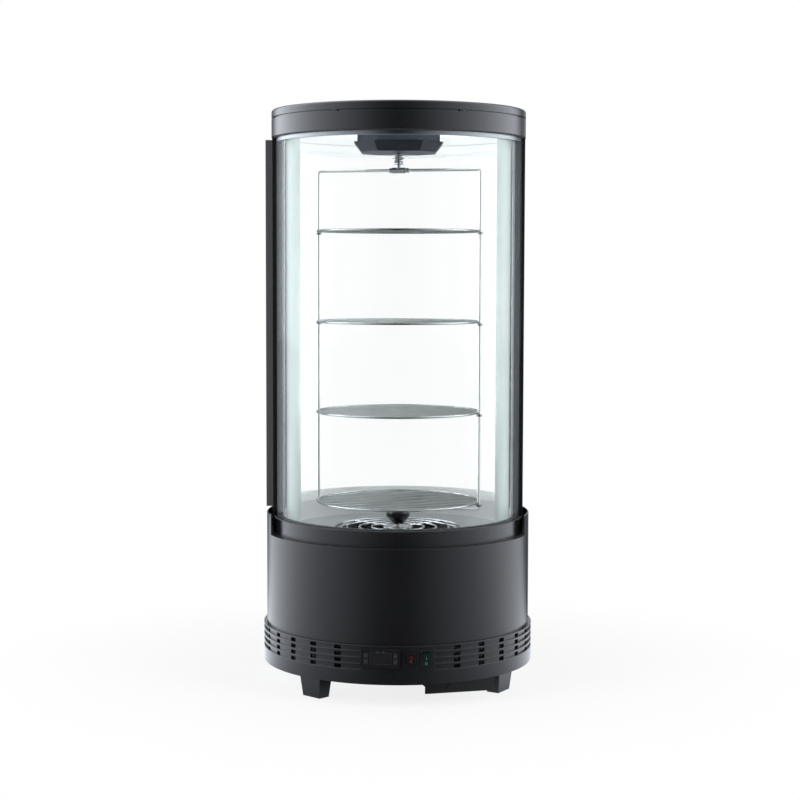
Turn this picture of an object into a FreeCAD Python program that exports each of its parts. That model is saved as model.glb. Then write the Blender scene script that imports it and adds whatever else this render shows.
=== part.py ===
import FreeCAD
import Part
import Sketcher
import math
import os

# Round counter-top display cabinet with a turning wire rack, in millimetres.
# +Z is up, the front looks towards -Y, and the origin is on the counter under the rack's axis.

os.makedirs("parts", exist_ok=True)
doc = FreeCAD.newDocument("DisplayCabinet")
sheet = doc.addObject("Spreadsheet::Sheet", "Sizes")

Vector = FreeCAD.Vector
UP = Vector(0, 0, 1)

# Driving dimensions: alias, value in millimetres or degrees, meaning
SIZES = [
    ("foot_height", 39, "skirt's lower edge above the counter"),
    ("foot_width", 48, "foot along the rim, at its top"),
    ("foot_depth", 30, "foot across the rim, at its top"),
    ("foot_taper", 6, "draft of the foot's sides"),
    ("foot_inset", 33.5, "middle of a foot inside the skirt's outer face"),
    ("foot_angle", 51, "foot from the front or back, about the axis"),
    ("feet_turn", 8, "turn of the set of feet about the axis"),
    ("screw_radius", 3, "foot screw's shank"),
    ("screw_head_radius", 6, "foot screw's head"),
    ("screw_head_height", 4, "foot screw's head"),
    ("screw_recess", 12, "depth of the head's seat in the foot"),
    ("screw_play", 0.3, "hole round a screw, on the radius"),
    ("plate_thickness", 2, "steel base plate"),
    ("skirt_radius", 235.5, "vented skirt, outside"),
    ("skirt_height", 65, "vented skirt"),
    ("skirt_wall", 8, "vented skirt, with its grooves"),
    ("vent_pitch", 10.5, "one row of grooves to the next"),
    ("vent_height", 7, "groove"),
    ("vent_depth", 3.5, "groove"),
    ("vent_rim", 2, "rim above the highest groove"),
    ("window_sweep", 3, "air window in a groove, about the axis"),
    ("window_step", 12, "one air window to the next"),
    ("window_first", 25.2, "first air window from the front"),
    ("control_sweep", 30.4, "plain stretch of the skirt round the controls"),
    ("panel_inset", 5.5, "base panel inside the skirt's outer face"),
    ("panel_height", 159, "base panel at the front"),
    ("panel_wall", 2, "base panel"),
    ("lip_width", 13, "ledge in the panel under the tub"),
    ("lip_height", 4, "ledge in the panel under the tub"),
    ("collar_height", 35, "rise of the panel round the back"),
    ("collar_chamfer", 1.5, "outer top edge of the collar"),
    ("collar_sweep", 216, "collar about the axis"),
    ("seat_gap", 0.3, "play between parts that drop into each other"),
    ("tub_depth", 62, "insulated tub, outside"),
    ("tub_inset", 28, "insulated tub's side inside the base panel"),
    ("tub_wall", 14, "insulated tub's side"),
    ("tub_bottom", 10, "insulated tub's bottom"),
    ("tub_flange", 10, "insulated tub's flange"),
    ("rail_inset", 12.4, "front rail, sill and door inside the base panel's face"),
    ("rail_depth", 18.6, "front rail, sill and door, outside to inside"),
    ("rail_height", 27, "front bottom rail"),
    ("rail_sweep", 142, "front bottom rail about the axis"),
    ("glass_height", 657, "front glass between rail and top band"),
    ("glass_inset", 1.6, "outer pane behind the rail's face"),
    ("glass_sweep", 168, "front glass about the axis"),
    ("pane_thickness", 4, "one pane of the double glazing"),
    ("pane_gap", 9, "air between the two panes"),
    ("pillar_proud", 1.9, "side pillars in front of the rail's face"),
    ("pillar_rear", 0.8, "pillar's back edge behind the cabinet's side"),
    ("band_proud", 2.9, "top band in front of the rail's face"),
    ("band_height", 30, "top band"),
    ("band_wall", 3, "top band"),
    ("ledge_height", 3, "inner ledge of the top band"),
    ("liner_thickness", 3, "white ceiling liner"),
    ("ceiling_rise", 15, "ceiling above the top band's lower edge"),
    ("lid_gap", 3, "shadow line under the lid"),
    ("lid_height", 13.5, "lid above the shadow line"),
    ("lid_wall", 3, "lid"),
    ("lid_round", 4, "lid's upper edge"),
    ("floor_thickness", 2, "steel chamber floor"),
    ("fan_hole", 100, "radius of the hole over the fan"),
    ("guard_margin", 12, "fan guard's outer ring round the fan's hole"),
    ("guard_step", 22, "one ring of the guard to the next"),
    ("guard_wire", 2, "radius of the guard's wire"),
    ("guard_spoke", 1.8, "radius of the guard's spokes"),
    ("pin_radius", 4, "rack's lower pivot pin"),
    ("running_gap", 0.05, "radial clearance of a turning fit"),
    ("knob_radius", 21, "pivot knob"),
    ("knob_height", 27, "pivot knob"),
    ("knob_neck", 9, "radius of the pivot knob's foot"),
    ("knob_cap", 12.6, "radius of the pivot knob's cap"),
    ("knob_flare", 13, "sloping lower part of the pivot knob"),
    ("knob_band", 6, "widest part of the pivot knob"),
    ("knob_shoulder", 2, "slope under the pivot knob's cap"),
    ("pin_reach", 20, "pivot pin in its knob"),
    ("knob_lift", 5, "pivot knob above its pin's plate"),
    ("shelf_gap", 58, "shelf rim inside the chamber's wall"),
    ("shelf_wire", 2, "radius of the shelf's rim wire"),
    ("shelf_bar", 1.5, "radius of a shelf's bars"),
    ("shelf_bar_step", 20, "one bar of a shelf to the next"),
    ("shelf_rise", 51.5, "lowest shelf above the base panel"),
    ("shelf_step", 157.5, "one shelf to the next"),
    ("hanger_wire", 2.5, "radius of the rack's hanger wire"),
    ("hanger_bend", 5, "bend of the hanger wire"),
    ("coupling_drop", 30, "upper bar of the hanger below the motor hood"),
    ("rack_turn", 15, "rack's rest position, turned back on the left"),
    ("clip_radius", 5, "clip on the hanger under a shelf"),
    ("clip_height", 4, "clip on the hanger under a shelf"),
    ("hood_side", 154, "motor hood across its widest"),
    ("hood_cut", 35, "corner cut of the motor hood"),
    ("hood_slope", 17, "sloping part of the motor hood"),
    ("hood_narrow", 13, "inward lean of the hood on each side"),
    ("hood_neck", 6, "step of the hood's neck on each side"),
    ("hood_drop", 40, "hood's lower face below the ceiling"),
    ("hood_wall", 2.5, "motor hood"),
    ("motor_radius", 30, "rack motor"),
    ("motor_height", 22, "rack motor"),
    ("shaft_radius", 4, "drive shaft"),
    ("shaft_play", 1, "hole in the hood round the drive shaft"),
    ("coil_radius", 6.5, "coupling spring, middle of the wire"),
    ("coil_wire", 1, "radius of the coupling spring's wire"),
    ("sleeve_length", 22, "sleeve of the drive shaft on the hanger"),
    ("door_play", 2, "gap above and under the rear door"),
    ("door_edge", 2.8, "door's edge behind the cabinet's side"),
    ("stile_sweep", 5, "door stile about the axis"),
    ("door_rail", 12, "top and bottom rails of the door"),
    ("gasket_thickness", 1.7, "door gasket"),
    ("gasket_width", 9, "door gasket"),
    ("handle_reach", 15.4, "handle beyond the door's outer face"),
    ("handle_width", 15, "handle across"),
    ("hinge_inset", 5.2, "hinge axis inside the door's outer face"),
    ("hinge_angle", 4.8, "hinge axis behind the cabinet's side"),
    ("hinge_pin", 3, "radius of the hinge pins"),
    ("hinge_pin_length", 14, "hinge pin in the door"),
    ("tray_width", 66, "drip tray's pan"),
    ("tray_length", 158, "drip tray, front to back"),
    ("tray_height", 22, "drip tray"),
    ("tray_wall", 2, "drip tray"),
    ("tray_turn", 15, "direction in which the drip tray pulls out"),
    ("tray_inset", 30, "front of the tray's pan inside the skirt's outer face"),
    ("tray_side", 39, "middle of the tray's pan beside the axis"),
    ("tray_front_left", 13.5, "tray's front plate beyond its pan on the left"),
    ("tray_front_right", 40, "tray's front plate beyond its pan on the right"),
    ("tray_play", 0.5, "gap round the tray's rims"),
    ("tray_rim", 5, "rim of the tray that hangs in its runners"),
    ("compressor_radius", 68, "compressor shell"),
    ("compressor_height", 118, "compressor shell"),
    ("compressor_foot", 54, "radius of the compressor's bottom"),
    ("compressor_crown", 49, "radius of the compressor's top"),
    ("compressor_shoulder", 26, "slope at each end of the compressor"),
    ("mount_circle", 41, "compressor's axis to its rubber mounts"),
    ("compressor_wall", 10, "compressor shell with the pump in it"),
    ("compressor_x", -62, "compressor from the cabinet axis"),
    ("compressor_y", 70, "compressor from the cabinet axis"),
    ("grommet_height", 14, "rubber mounts of the compressor"),
    ("grommet_radius", 11, "rubber mounts of the compressor"),
    ("condenser_width", 190, "condenser coil across"),
    ("condenser_depth", 44, "condenser coil"),
    ("condenser_height", 130, "condenser coil"),
    ("condenser_inset", 95.5, "middle of the condenser coil inside the skirt's outer face"),
    ("fin_step", 10, "one coil fin to the next"),
    ("fin_thickness", 1, "coil fin"),
    ("coil_tube", 5, "radius of a coil's tubes"),
    ("blower_radius", 56, "condenser fan"),
    ("blower_gap", 14, "condenser fan behind its coil"),
    ("fan_play", 12, "evaporator fan inside its hole"),
    ("blade_thickness", 2, "fan blade"),
    ("blade_width", 26, "fan blade"),
    ("blade_lean", 28, "fan blade's pitch"),
    ("hub_radius", 18, "fan hub"),
    ("hub_height", 16, "fan hub"),
    ("fan_motor_radius", 22, "fan motors"),
    ("fan_motor_length", 26, "fan motors"),
    ("evaporator_width", 150, "evaporator coil across"),
    ("evaporator_depth", 46, "evaporator coil"),
    ("evaporator_height", 40, "evaporator coil"),
    ("evaporator_inset", 48, "middle of the evaporator coil inside the tub's wall"),
    ("line_radius", 3.2, "refrigerant lines"),
    ("line_bend", 16, "bends of the refrigerant lines"),
    ("line_rise", 22, "highest refrigerant line above the compressor"),
    ("line_inset", 16, "refrigerant line from the condenser coil's edge"),
    ("dryer_radius", 9, "filter dryer"),
    ("dryer_length", 70, "filter dryer"),
    ("control_rise", 44, "middle of the controls above the skirt's lower edge"),
    ("thermostat_width", 65, "thermostat's face"),
    ("thermostat_height", 33, "thermostat's face"),
    ("thermostat_depth", 52, "thermostat's case"),
    ("thermostat_angle", -6.7, "thermostat from the front, about the axis"),
    ("control_proud", 1.2, "controls' faces in front of the skirt"),
    ("face_thickness", 5, "flange of a control's face"),
    ("case_inset", 2.5, "control's case inside its face's outline"),
    ("display_width", 33, "thermostat's window"),
    ("display_height", 17, "thermostat's window"),
    ("window_depth", 2, "thermostat's window"),
    ("button_width", 8, "thermostat's buttons"),
    ("button_height", 9.5, "thermostat's buttons"),
    ("button_travel", 0.8, "thermostat's buttons"),
    ("button_depth", 3, "thermostat's buttons"),
    ("button_play", 0.3, "gap round a button or a rocker"),
    ("light_angle", 5.5, "light switch from the front, about the axis"),
    ("light_width", 15, "light switch's frame"),
    ("light_height", 21, "light switch's frame"),
    ("power_angle", 11.6, "power switch from the front, about the axis"),
    ("power_width", 20, "power switch's frame"),
    ("power_height", 29, "power switch's frame"),
    ("switch_border", 3.2, "frame round a rocker"),
    ("switch_depth", 24, "switch case"),
    ("rocker_depth", 8, "rocker, front to back"),
    ("rocker_well", 12.8, "depth of the well round a rocker"),
    ("rocker_tilt", 8, "rocker's rest lean"),
    ("trunnion_radius", 1, "pins on which a rocker tips"),
    ("trunnion_reach", 1.5, "pins on which a rocker tips, beyond its side"),
    ("inlet_width", 48, "mains inlet's flange"),
    ("inlet_height", 28, "mains inlet's flange"),
    ("inlet_depth", 22, "mains inlet's case"),
    ("socket_width", 26, "opening of the mains inlet"),
    ("socket_height", 17, "opening of the mains inlet"),
    ("socket_depth", 18, "opening of the mains inlet"),
    ("light_tube_radius", 12.5, "frosted light tubes in the chamber"),
    ("light_tube_wall", 1.5, "frosted light tubes"),
    ("light_tube_angle", 85, "light tube from the front, about the axis"),
]

VENT_ROWS = 4
WINDOWS_PER_SIDE = 13
GUARD_RINGS = 5
SHELVES = 4
FAN_BLADES = 5
SPRING_TURNS = 5


class Size:
    """A number of the sheet, or a sum of such numbers, with the expression that gives it."""

    def __init__(self, text, value):
        self.text = text
        self.value = value

    def __add__(self, other):
        other = as_size(other)
        return Size("(%s + %s)" % (self.text, other.text), self.value + other.value)

    def __radd__(self, other):
        return as_size(other) + self

    def __sub__(self, other):
        other = as_size(other)
        return Size("(%s - %s)" % (self.text, other.text), self.value - other.value)

    def __rsub__(self, other):
        return as_size(other) - self

    def __mul__(self, other):
        other = as_size(other)
        return Size("(%s * %s)" % (self.text, other.text), self.value * other.value)

    def __rmul__(self, other):
        return as_size(other) * self

    def __truediv__(self, other):
        other = as_size(other)
        return Size("(%s / %s)" % (self.text, other.text), self.value / other.value)

    def __neg__(self):
        return Size("(0 - %s)" % self.text, -self.value)


def as_size(number):
    if isinstance(number, Size):
        return number
    return Size("(%r)" % number, float(number))


class Named:
    """The sheet's cells as attributes."""


size = Named()
for row, (alias, number, meaning) in enumerate(SIZES, start=1):
    sheet.set("A%d" % row, alias)
    sheet.set("B%d" % row, str(number))
    sheet.set("C%d" % row, meaning)
    sheet.setAlias("B%d" % row, alias)
    setattr(size, alias, Size("Sizes.%s" % alias, float(number)))
doc.recompute()

finished = {}


def unique(name):
    """Internal name of a helper solid, numbered so that it stays its own."""
    unique.count += 1
    return "%s_%d" % (name, unique.count)


unique.count = 0


def bind(thing, **values):
    """Binds properties of an object to sizes; a double underscore stands for a dot."""
    for name, value in values.items():
        thing.setExpression(name.replace("__", "."), as_size(value).text)
    return thing


def place(thing, x=0, y=0, z=0, turn=None, axis=UP):
    """Puts an object at bound coordinates, turned about an axis by a bound angle."""
    if turn is not None:
        angle = as_size(turn)
        rotation = FreeCAD.Rotation(axis, angle.value)
        thing.Placement = FreeCAD.Placement(Vector(0, 0, 0), rotation)
        sign = 1 if (rotation.Axis.dot(axis) >= 0) else -1
        thing.setExpression("Placement.Rotation.Angle", (sign * angle).text)
    bind(thing, Placement__Base__x=x, Placement__Base__y=y, Placement__Base__z=z)
    return thing


def node(label, thing):
    """Registers an object as a finished sub-part."""
    thing.Label = label
    finished[label] = thing
    return thing


def origin_plane(body, role):
    return [feature for feature in body.Origin.OriginFeatures if feature.Role == role][0]


def outline(body, name, corners, role):
    """Closed sketch of straight edges whose corners are bound to sizes."""
    sketch = body.newObject("Sketcher::SketchObject", unique(name))
    sketch.AttachmentSupport = [(origin_plane(body, role), "")]
    sketch.MapMode = "FlatFace"
    spots = [(as_size(across), as_size(along)) for across, along in corners]
    count = len(spots)
    for index in range(count):
        start = spots[index]
        end = spots[(index + 1) % count]
        first = Vector(start[0].value, start[1].value, 0)
        last = Vector(end[0].value, end[1].value, 0)
        sketch.addGeometry(Part.LineSegment(first, last), False)
    for index in range(count):
        sketch.addConstraint(Sketcher.Constraint("Coincident", index, 2, (index + 1) % count, 1))
    for index, (across, along) in enumerate(spots):
        for kind, axis, distance in (("DistanceX", -2, across), ("DistanceY", -1, along)):
            if distance.value == 0:
                sketch.addConstraint(Sketcher.Constraint("PointOnObject", index, 1, axis))
                continue
            spot = sketch.addConstraint(Sketcher.Constraint(kind, -1, 1, index, 1, distance.value))
            sketch.setExpression("Constraints[%d]" % spot, distance.text)
    return sketch


def add_turning(body, name, corners, sweep=None):
    """Adds a turned feature about Z; a partial one is centred on the body's +X."""
    sketch = outline(body, name, corners, "XZ_Plane")
    feature = body.newObject("PartDesign::Revolution", unique(name))
    feature.Profile = sketch
    feature.ReferenceAxis = (sketch, ["V_Axis"])
    feature.Angle = 360
    if sweep is not None:
        feature.Midplane = True
        bind(feature, Angle=sweep)
    return feature


def turned(label, corners, sweep=None, facing=None):
    """Body turned about Z; a partial one is centred on the direction that it faces."""
    body = doc.addObject("PartDesign::Body", unique(label))
    add_turning(body, label, corners, sweep)
    if facing is not None:
        place(body, turn=facing)
    return body


def tube_corners(inner, outer, low, high):
    return [(inner, low), (outer, low), (outer, high), (inner, high)]


def padded(label, corners, height, taper=None):
    """Body padded upwards from a closed outline in plan."""
    body = doc.addObject("PartDesign::Body", unique(label))
    sketch = outline(body, label, corners, "XY_Plane")
    feature = body.newObject("PartDesign::Pad", unique(label))
    feature.Profile = sketch
    bind(feature, Length=height)
    if taper is not None:
        bind(feature, TaperAngle=taper)
    return body


def rod(name, radius, length, x=0, y=0, z=0, turn=None, axis=UP):
    bar = doc.addObject("Part::Cylinder", unique(name))
    bind(bar, Radius=radius, Height=length)
    return place(bar, x, y, z, turn, axis)


def block(name, across, deep, high, x=0, y=0, z=0, turn=None, axis=UP):
    """Box with one corner at the given place."""
    box = doc.addObject("Part::Box", unique(name))
    bind(box, Length=across, Width=deep, Height=high)
    return place(box, x, y, z, turn, axis)


def ring(name, radius, wire, z, x=0, y=0):
    hoop = doc.addObject("Part::Torus", unique(name))
    bind(hoop, Radius1=radius, Radius2=wire)
    return place(hoop, x, y, z)


def fused(name, parts):
    union = doc.addObject("Part::MultiFuse", unique(name))
    union.Shapes = parts
    return union


def cut(name, base, tools):
    """Takes the tools, as one group, out of the base."""
    result = doc.addObject("Part::Cut", unique(name))
    result.Base = base
    result.Tool = tools[0] if len(tools) == 1 else grouped(name, tools)
    return result


def grouped(name, parts):
    """Separate solids that stay separate."""
    group = doc.addObject("Part::Compound", unique(name))
    group.Links = parts
    return group


def cosine(angle):
    return Size("cos(%s * 1 deg)" % as_size(angle).text, math.cos(math.radians(as_size(angle).value)))


def sine(angle):
    return Size("sin(%s * 1 deg)" % as_size(angle).text, math.sin(math.radians(as_size(angle).value)))


FRONT = -90
BACK = 90
RIGHT = 0
LEFT = 180
FRONT_TO_SIDE = 90

# Radii and places about the cabinet axis that several parts share
skirt_inside = size.skirt_radius - size.skirt_wall
panel_radius = size.skirt_radius - size.panel_inset
panel_inside = panel_radius - size.panel_wall
tub_radius = panel_inside - size.tub_inset
tub_cavity = tub_radius - size.tub_wall
rail_radius = panel_radius - size.rail_inset
rail_inside = rail_radius - size.rail_depth
pillar_radius = rail_radius + size.pillar_proud
band_radius = rail_radius + size.band_proud
band_inside = band_radius - size.band_wall
outer_pane = rail_radius - size.glass_inset
inner_pane = outer_pane - size.pane_thickness - size.pane_gap
rim_inside = rail_inside - size.liner_thickness
seal_outside = rail_inside + size.rail_depth / 2
seal_inside = seal_outside - size.gasket_width
foot_circle = size.skirt_radius - size.foot_inset
tray_front = size.skirt_radius - size.tray_inset
condenser_y = size.condenser_inset - size.skirt_radius
evaporator_y = tub_cavity - size.evaporator_inset
guard_radius = size.fan_hole + size.guard_margin
guard_inner_ring = guard_radius - (GUARD_RINGS - 1) * size.guard_step
evaporator_fan_radius = size.fan_hole - size.fan_play
shelf_radius = rail_inside - size.shelf_gap
hanger_reach = shelf_radius + size.shelf_wire + size.hanger_wire + size.seat_gap
hinge_radius = rail_radius - size.hinge_inset
control_face = size.skirt_radius + size.control_proud
control_seat = control_face - size.face_thickness

# Heights above the counter that several parts share
plate_top = size.foot_height + size.plate_thickness
skirt_top = size.foot_height + size.skirt_height
control_height = size.foot_height + size.control_rise
panel_top = skirt_top + size.panel_height
collar_top = panel_top + size.collar_height
tub_low = panel_top - size.tub_depth
tub_floor = tub_low + size.tub_bottom
floor_top = panel_top + size.floor_thickness
rail_top = panel_top + size.rail_height
band_low = rail_top + size.glass_height
ledge_top = band_low + size.ledge_height
band_top = band_low + size.band_height
ceiling = band_low + size.ceiling_rise
hood_low = ceiling - size.hood_drop
hanger_top = hood_low - size.coupling_drop
lid_low = band_top + size.lid_gap
lid_top = lid_low + size.lid_height
shelf_first = panel_top + size.shelf_rise
knob_low = floor_top + 2 * size.guard_wire + size.knob_lift
knob_top = knob_low + size.knob_height
door_low = collar_top + size.door_play
door_top = band_low - size.door_play
compressor_low = plate_top + size.grommet_height
compressor_top = compressor_low + size.compressor_height

# Hinge axis and sweep of the door
hinge_bearing = RIGHT + size.hinge_angle
hinge_x = hinge_radius * cosine(hinge_bearing)
hinge_y = hinge_radius * sine(hinge_bearing)
door_sweep = 180 - 2 * size.door_edge


def degrees_at_rail(length):
    """Angle about the cabinet axis that a length takes at the rails' outer face."""
    return length / rail_radius * (180 / math.pi)


def make_feet():
    """Four tapered feet with a screw each, set on a circle under the base plate."""
    feet = []
    screws = []
    shank_hole = size.screw_radius + size.screw_play
    head_hole = size.screw_head_radius + size.screw_play
    half_width = size.foot_width / 2
    half_depth = size.foot_depth / 2
    corners = [(-half_depth, -half_width), (half_depth, -half_width),
               (half_depth, half_width), (-half_depth, half_width)]
    head_low = size.screw_recess - size.screw_head_height
    shank = plate_top - size.screw_recess
    for heading in (FRONT + size.foot_angle, FRONT - size.foot_angle,
                    BACK + size.foot_angle, BACK - size.foot_angle):
        bearing = heading + size.feet_turn
        x = foot_circle * cosine(bearing)
        y = foot_circle * sine(bearing)
        leg = padded("foot", corners, size.foot_height, -size.foot_taper)
        upright = place(leg, 0, 0, size.foot_height, 180, Vector(1, 0, 0))
        drilled = cut("foot_drilled", upright, [
            rod("foot_shank_hole", shank_hole, size.foot_height),
            rod("foot_head_hole", head_hole, size.screw_recess),
        ])
        feet.append(place(drilled, x, y, 0, bearing))
        screws.append(fused("foot_screw", [
            rod("foot_screw_head", size.screw_head_radius, size.screw_head_height, x, y, head_low),
            rod("foot_screw_shank", size.screw_radius, shank, x, y, size.screw_recess),
        ]))
    node("feet", grouped("feet", feet))
    node("foot_screws", grouped("foot_screws", screws))


def foot_holes():
    holes = []
    for heading in (FRONT + size.foot_angle, FRONT - size.foot_angle,
                    BACK + size.foot_angle, BACK - size.foot_angle):
        bearing = heading + size.feet_turn
        holes.append(rod("plate_hole", size.screw_radius + size.screw_play, plate_top,
                         foot_circle * cosine(bearing), foot_circle * sine(bearing)))
    return holes


def make_base_plate():
    disc = rod("plate_disc", skirt_inside - size.seat_gap, size.plate_thickness, 0, 0, size.foot_height)
    node("base_plate", cut("base_plate", disc, foot_holes()))


def vent_rows():
    """Lower and upper edge of each groove round the skirt, highest first."""
    rows = []
    for row in range(VENT_ROWS):
        high = skirt_top - size.vent_rim - row * size.vent_pitch
        rows.append((high - size.vent_height, high))
    return rows


def control_cutout(name, width, height, angle):
    """Opening in the skirt for a control's case, with a seat for its face."""
    hole_width = width - 2 * size.case_inset + 2 * size.seat_gap
    hole_height = height - 2 * size.case_inset + 2 * size.seat_gap
    seat_width = width + 2 * size.seat_gap
    seat_height = height + 2 * size.seat_gap
    deep = 2 * size.skirt_wall
    return fused(name, [
        radial_block(name, hole_width, deep, hole_height, control_seat - deep + size.skirt_wall / 2, angle,
                     control_height - hole_height / 2),
        radial_block(name, seat_width, deep, seat_height, control_seat, angle,
                     control_height - seat_height / 2),
    ])


def radial_block(name, width, deep, high, inner, angle, z, beside=0):
    """Box that faces outwards at an angle from the front, its inner face at a radius."""
    bearing = FRONT + as_size(angle)
    side = as_size(beside) - as_size(width) / 2
    x = inner * cosine(bearing) - side * sine(bearing)
    y = inner * sine(bearing) + side * cosine(bearing)
    return block(name, deep, width, high, x, y, z, bearing)


def make_vent_skirt():
    """Skirt with grooves all round, air windows in them and a plain stretch for the controls."""
    groove_bottom = size.skirt_radius - size.vent_depth
    corners = [(skirt_inside, size.foot_height), (size.skirt_radius, size.foot_height)]
    for low, high in reversed(vent_rows()):
        corners += [(size.skirt_radius, low), (groove_bottom, low),
                    (groove_bottom, high), (size.skirt_radius, high)]
    corners += [(size.skirt_radius, skirt_top), (skirt_inside, skirt_top)]
    body = turned("vent_skirt", corners, None, FRONT)
    plain = tube_corners(groove_bottom - size.vent_depth / 2, size.skirt_radius,
                         size.foot_height, skirt_top)
    add_turning(body, "control_stretch", plain, size.control_sweep)
    windows = []
    width = size.skirt_radius * size.window_sweep * (math.pi / 180)
    for side in (1, -1):
        for column in range(WINDOWS_PER_SIDE):
            angle = side * (size.window_first + column * size.window_step)
            for low, high in vent_rows():
                windows.append(radial_block("air_window", width, size.skirt_wall * 2, high - low,
                                            size.skirt_radius - size.skirt_wall * 1.5, angle, low))
    windows.append(control_cutout("thermostat_hole", size.thermostat_width,
                                  size.thermostat_height, size.thermostat_angle))
    windows.append(control_cutout("light_hole", size.light_width, size.light_height, size.light_angle))
    windows.append(control_cutout("power_hole", size.power_width, size.power_height, size.power_angle))
    windows.append(control_cutout("inlet_hole", size.inlet_width, size.inlet_height, 180))
    node("vent_skirt", cut("vent_skirt", body, windows))


def make_base_panel():
    """Panel with a ledge for the tub and a collar round the back."""
    lip_top = panel_top - size.tub_flange
    lip_low = lip_top - size.lip_height
    lip = panel_inside - size.lip_width
    body = turned("base_panel", [
        (panel_inside, skirt_top), (panel_radius, skirt_top), (panel_radius, panel_top),
        (panel_inside, panel_top), (panel_inside, lip_top), (lip, lip_top),
        (lip, lip_low), (panel_inside, lip_low),
    ], None, BACK)
    add_turning(body, "collar", [
        (panel_inside, panel_top), (panel_radius, panel_top),
        (panel_radius, collar_top - size.collar_chamfer),
        (panel_radius - size.collar_chamfer, collar_top), (panel_inside, collar_top),
    ], size.collar_sweep)
    node("base_panel", body)


def make_tub():
    """Insulated tub under the chamber: it holds the evaporator and carries the superstructure."""
    flange_low = panel_top - size.tub_flange
    node("insulated_tub", turned("insulated_tub", [
        (0, tub_low), (tub_radius, tub_low), (tub_radius, flange_low),
        (panel_inside - size.seat_gap, flange_low), (panel_inside - size.seat_gap, panel_top),
        (tub_cavity, panel_top), (tub_cavity, tub_floor), (0, tub_floor),
    ]))


def make_chamber_floor():
    edge = rail_inside - size.seat_gap
    node("chamber_floor", turned("chamber_floor", tube_corners(size.fan_hole, edge, panel_top, floor_top)))


def make_fan_guard():
    """Rings of wire on four spokes, resting on the floor round the fan's hole."""
    middle = floor_top + size.guard_wire
    wires = []
    for index in range(GUARD_RINGS):
        wires.append(ring("guard_ring", guard_radius - index * size.guard_step, size.guard_wire, middle))
    for turn in (45, 135, 225, 315):
        x = guard_inner_ring * cosine(turn)
        y = guard_inner_ring * sine(turn)
        spoke = rod("guard_spoke", size.guard_spoke, guard_radius - guard_inner_ring, x, y, middle)
        heading = Vector(math.cos(math.radians(turn)), math.sin(math.radians(turn)), 0)
        spoke.Placement = FreeCAD.Placement(Vector(0, 0, 0), FreeCAD.Rotation(UP, heading))
        wires.append(place(spoke, x, y, middle))
    node("fan_guard", fused("fan_guard", wires))


def make_pivot():
    """Pin on a plate in the guard's middle, and the knob on the rack that turns on it."""
    plate = guard_inner_ring - size.guard_wire - size.seat_gap
    plate_high = floor_top + 2 * size.guard_wire
    pin_top = knob_low + size.pin_reach
    node("pivot_pin", turned("pivot_pin", [
        (0, floor_top), (plate, floor_top), (plate, plate_high), (size.pin_radius, plate_high),
        (size.pin_radius, pin_top), (0, pin_top),
    ]))
    bore = size.pin_radius + size.running_gap
    bore_top = pin_top + size.seat_gap
    band_start = knob_low + size.knob_flare
    band_end = band_start + size.knob_band
    cap_start = band_end + size.knob_shoulder
    node("pivot_knob", turned("pivot_knob", [
        (bore, knob_low), (size.knob_neck, knob_low), (size.knob_radius, band_start),
        (size.knob_radius, band_end), (size.knob_cap, cap_start), (size.knob_cap, knob_top),
        (0, knob_top), (0, bore_top), (bore, bore_top),
    ]))


def make_front():
    """Bottom rail, double glass and rear sill of the chamber."""
    node("front_bottom_rail", turned(
        "front_bottom_rail", tube_corners(rail_inside, rail_radius, panel_top, rail_top),
        size.rail_sweep, FRONT))
    sill_sweep = 360 - size.rail_sweep - 2 * (FRONT_TO_SIDE + size.pillar_rear - size.rail_sweep / 2)
    node("rear_sill", turned(
        "rear_sill", tube_corners(rail_inside, rail_radius, panel_top, collar_top),
        sill_sweep, BACK))
    for label, outside in (("front_glass_outer", outer_pane), ("front_glass_inner", inner_pane)):
        node(label, turned(
            label, tube_corners(outside - size.pane_thickness, outside, rail_top, band_low),
            size.glass_sweep, FRONT))


def make_pillars():
    """Side pillars with a tongue for the door's gasket; they carry the top band."""
    for label, side in (("left_pillar", -1), ("right_pillar", 1)):
        rear = FRONT_TO_SIDE + size.pillar_rear
        upper_sweep = rear - size.glass_sweep / 2
        lower_sweep = rear - size.rail_sweep / 2
        body = turned(label, tube_corners(rail_inside, pillar_radius, rail_top, band_low),
                      upper_sweep, FRONT + side * (rear - upper_sweep / 2))
        foot = turned(label + "_foot", tube_corners(rail_inside, pillar_radius, panel_top, rail_top),
                      lower_sweep, FRONT + side * (rear - lower_sweep / 2))
        seal_front = FRONT_TO_SIDE + size.door_edge - degrees_at_rail(size.gasket_thickness + size.seat_gap)
        tongue_sweep = seal_front - rear + size.pillar_rear
        tongue = turned(label + "_tongue", tube_corners(rail_inside, seal_outside, collar_top, band_low),
                        tongue_sweep, FRONT + side * (seal_front - tongue_sweep / 2))
        node(label, fused(label, [body, foot, tongue]))


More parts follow.
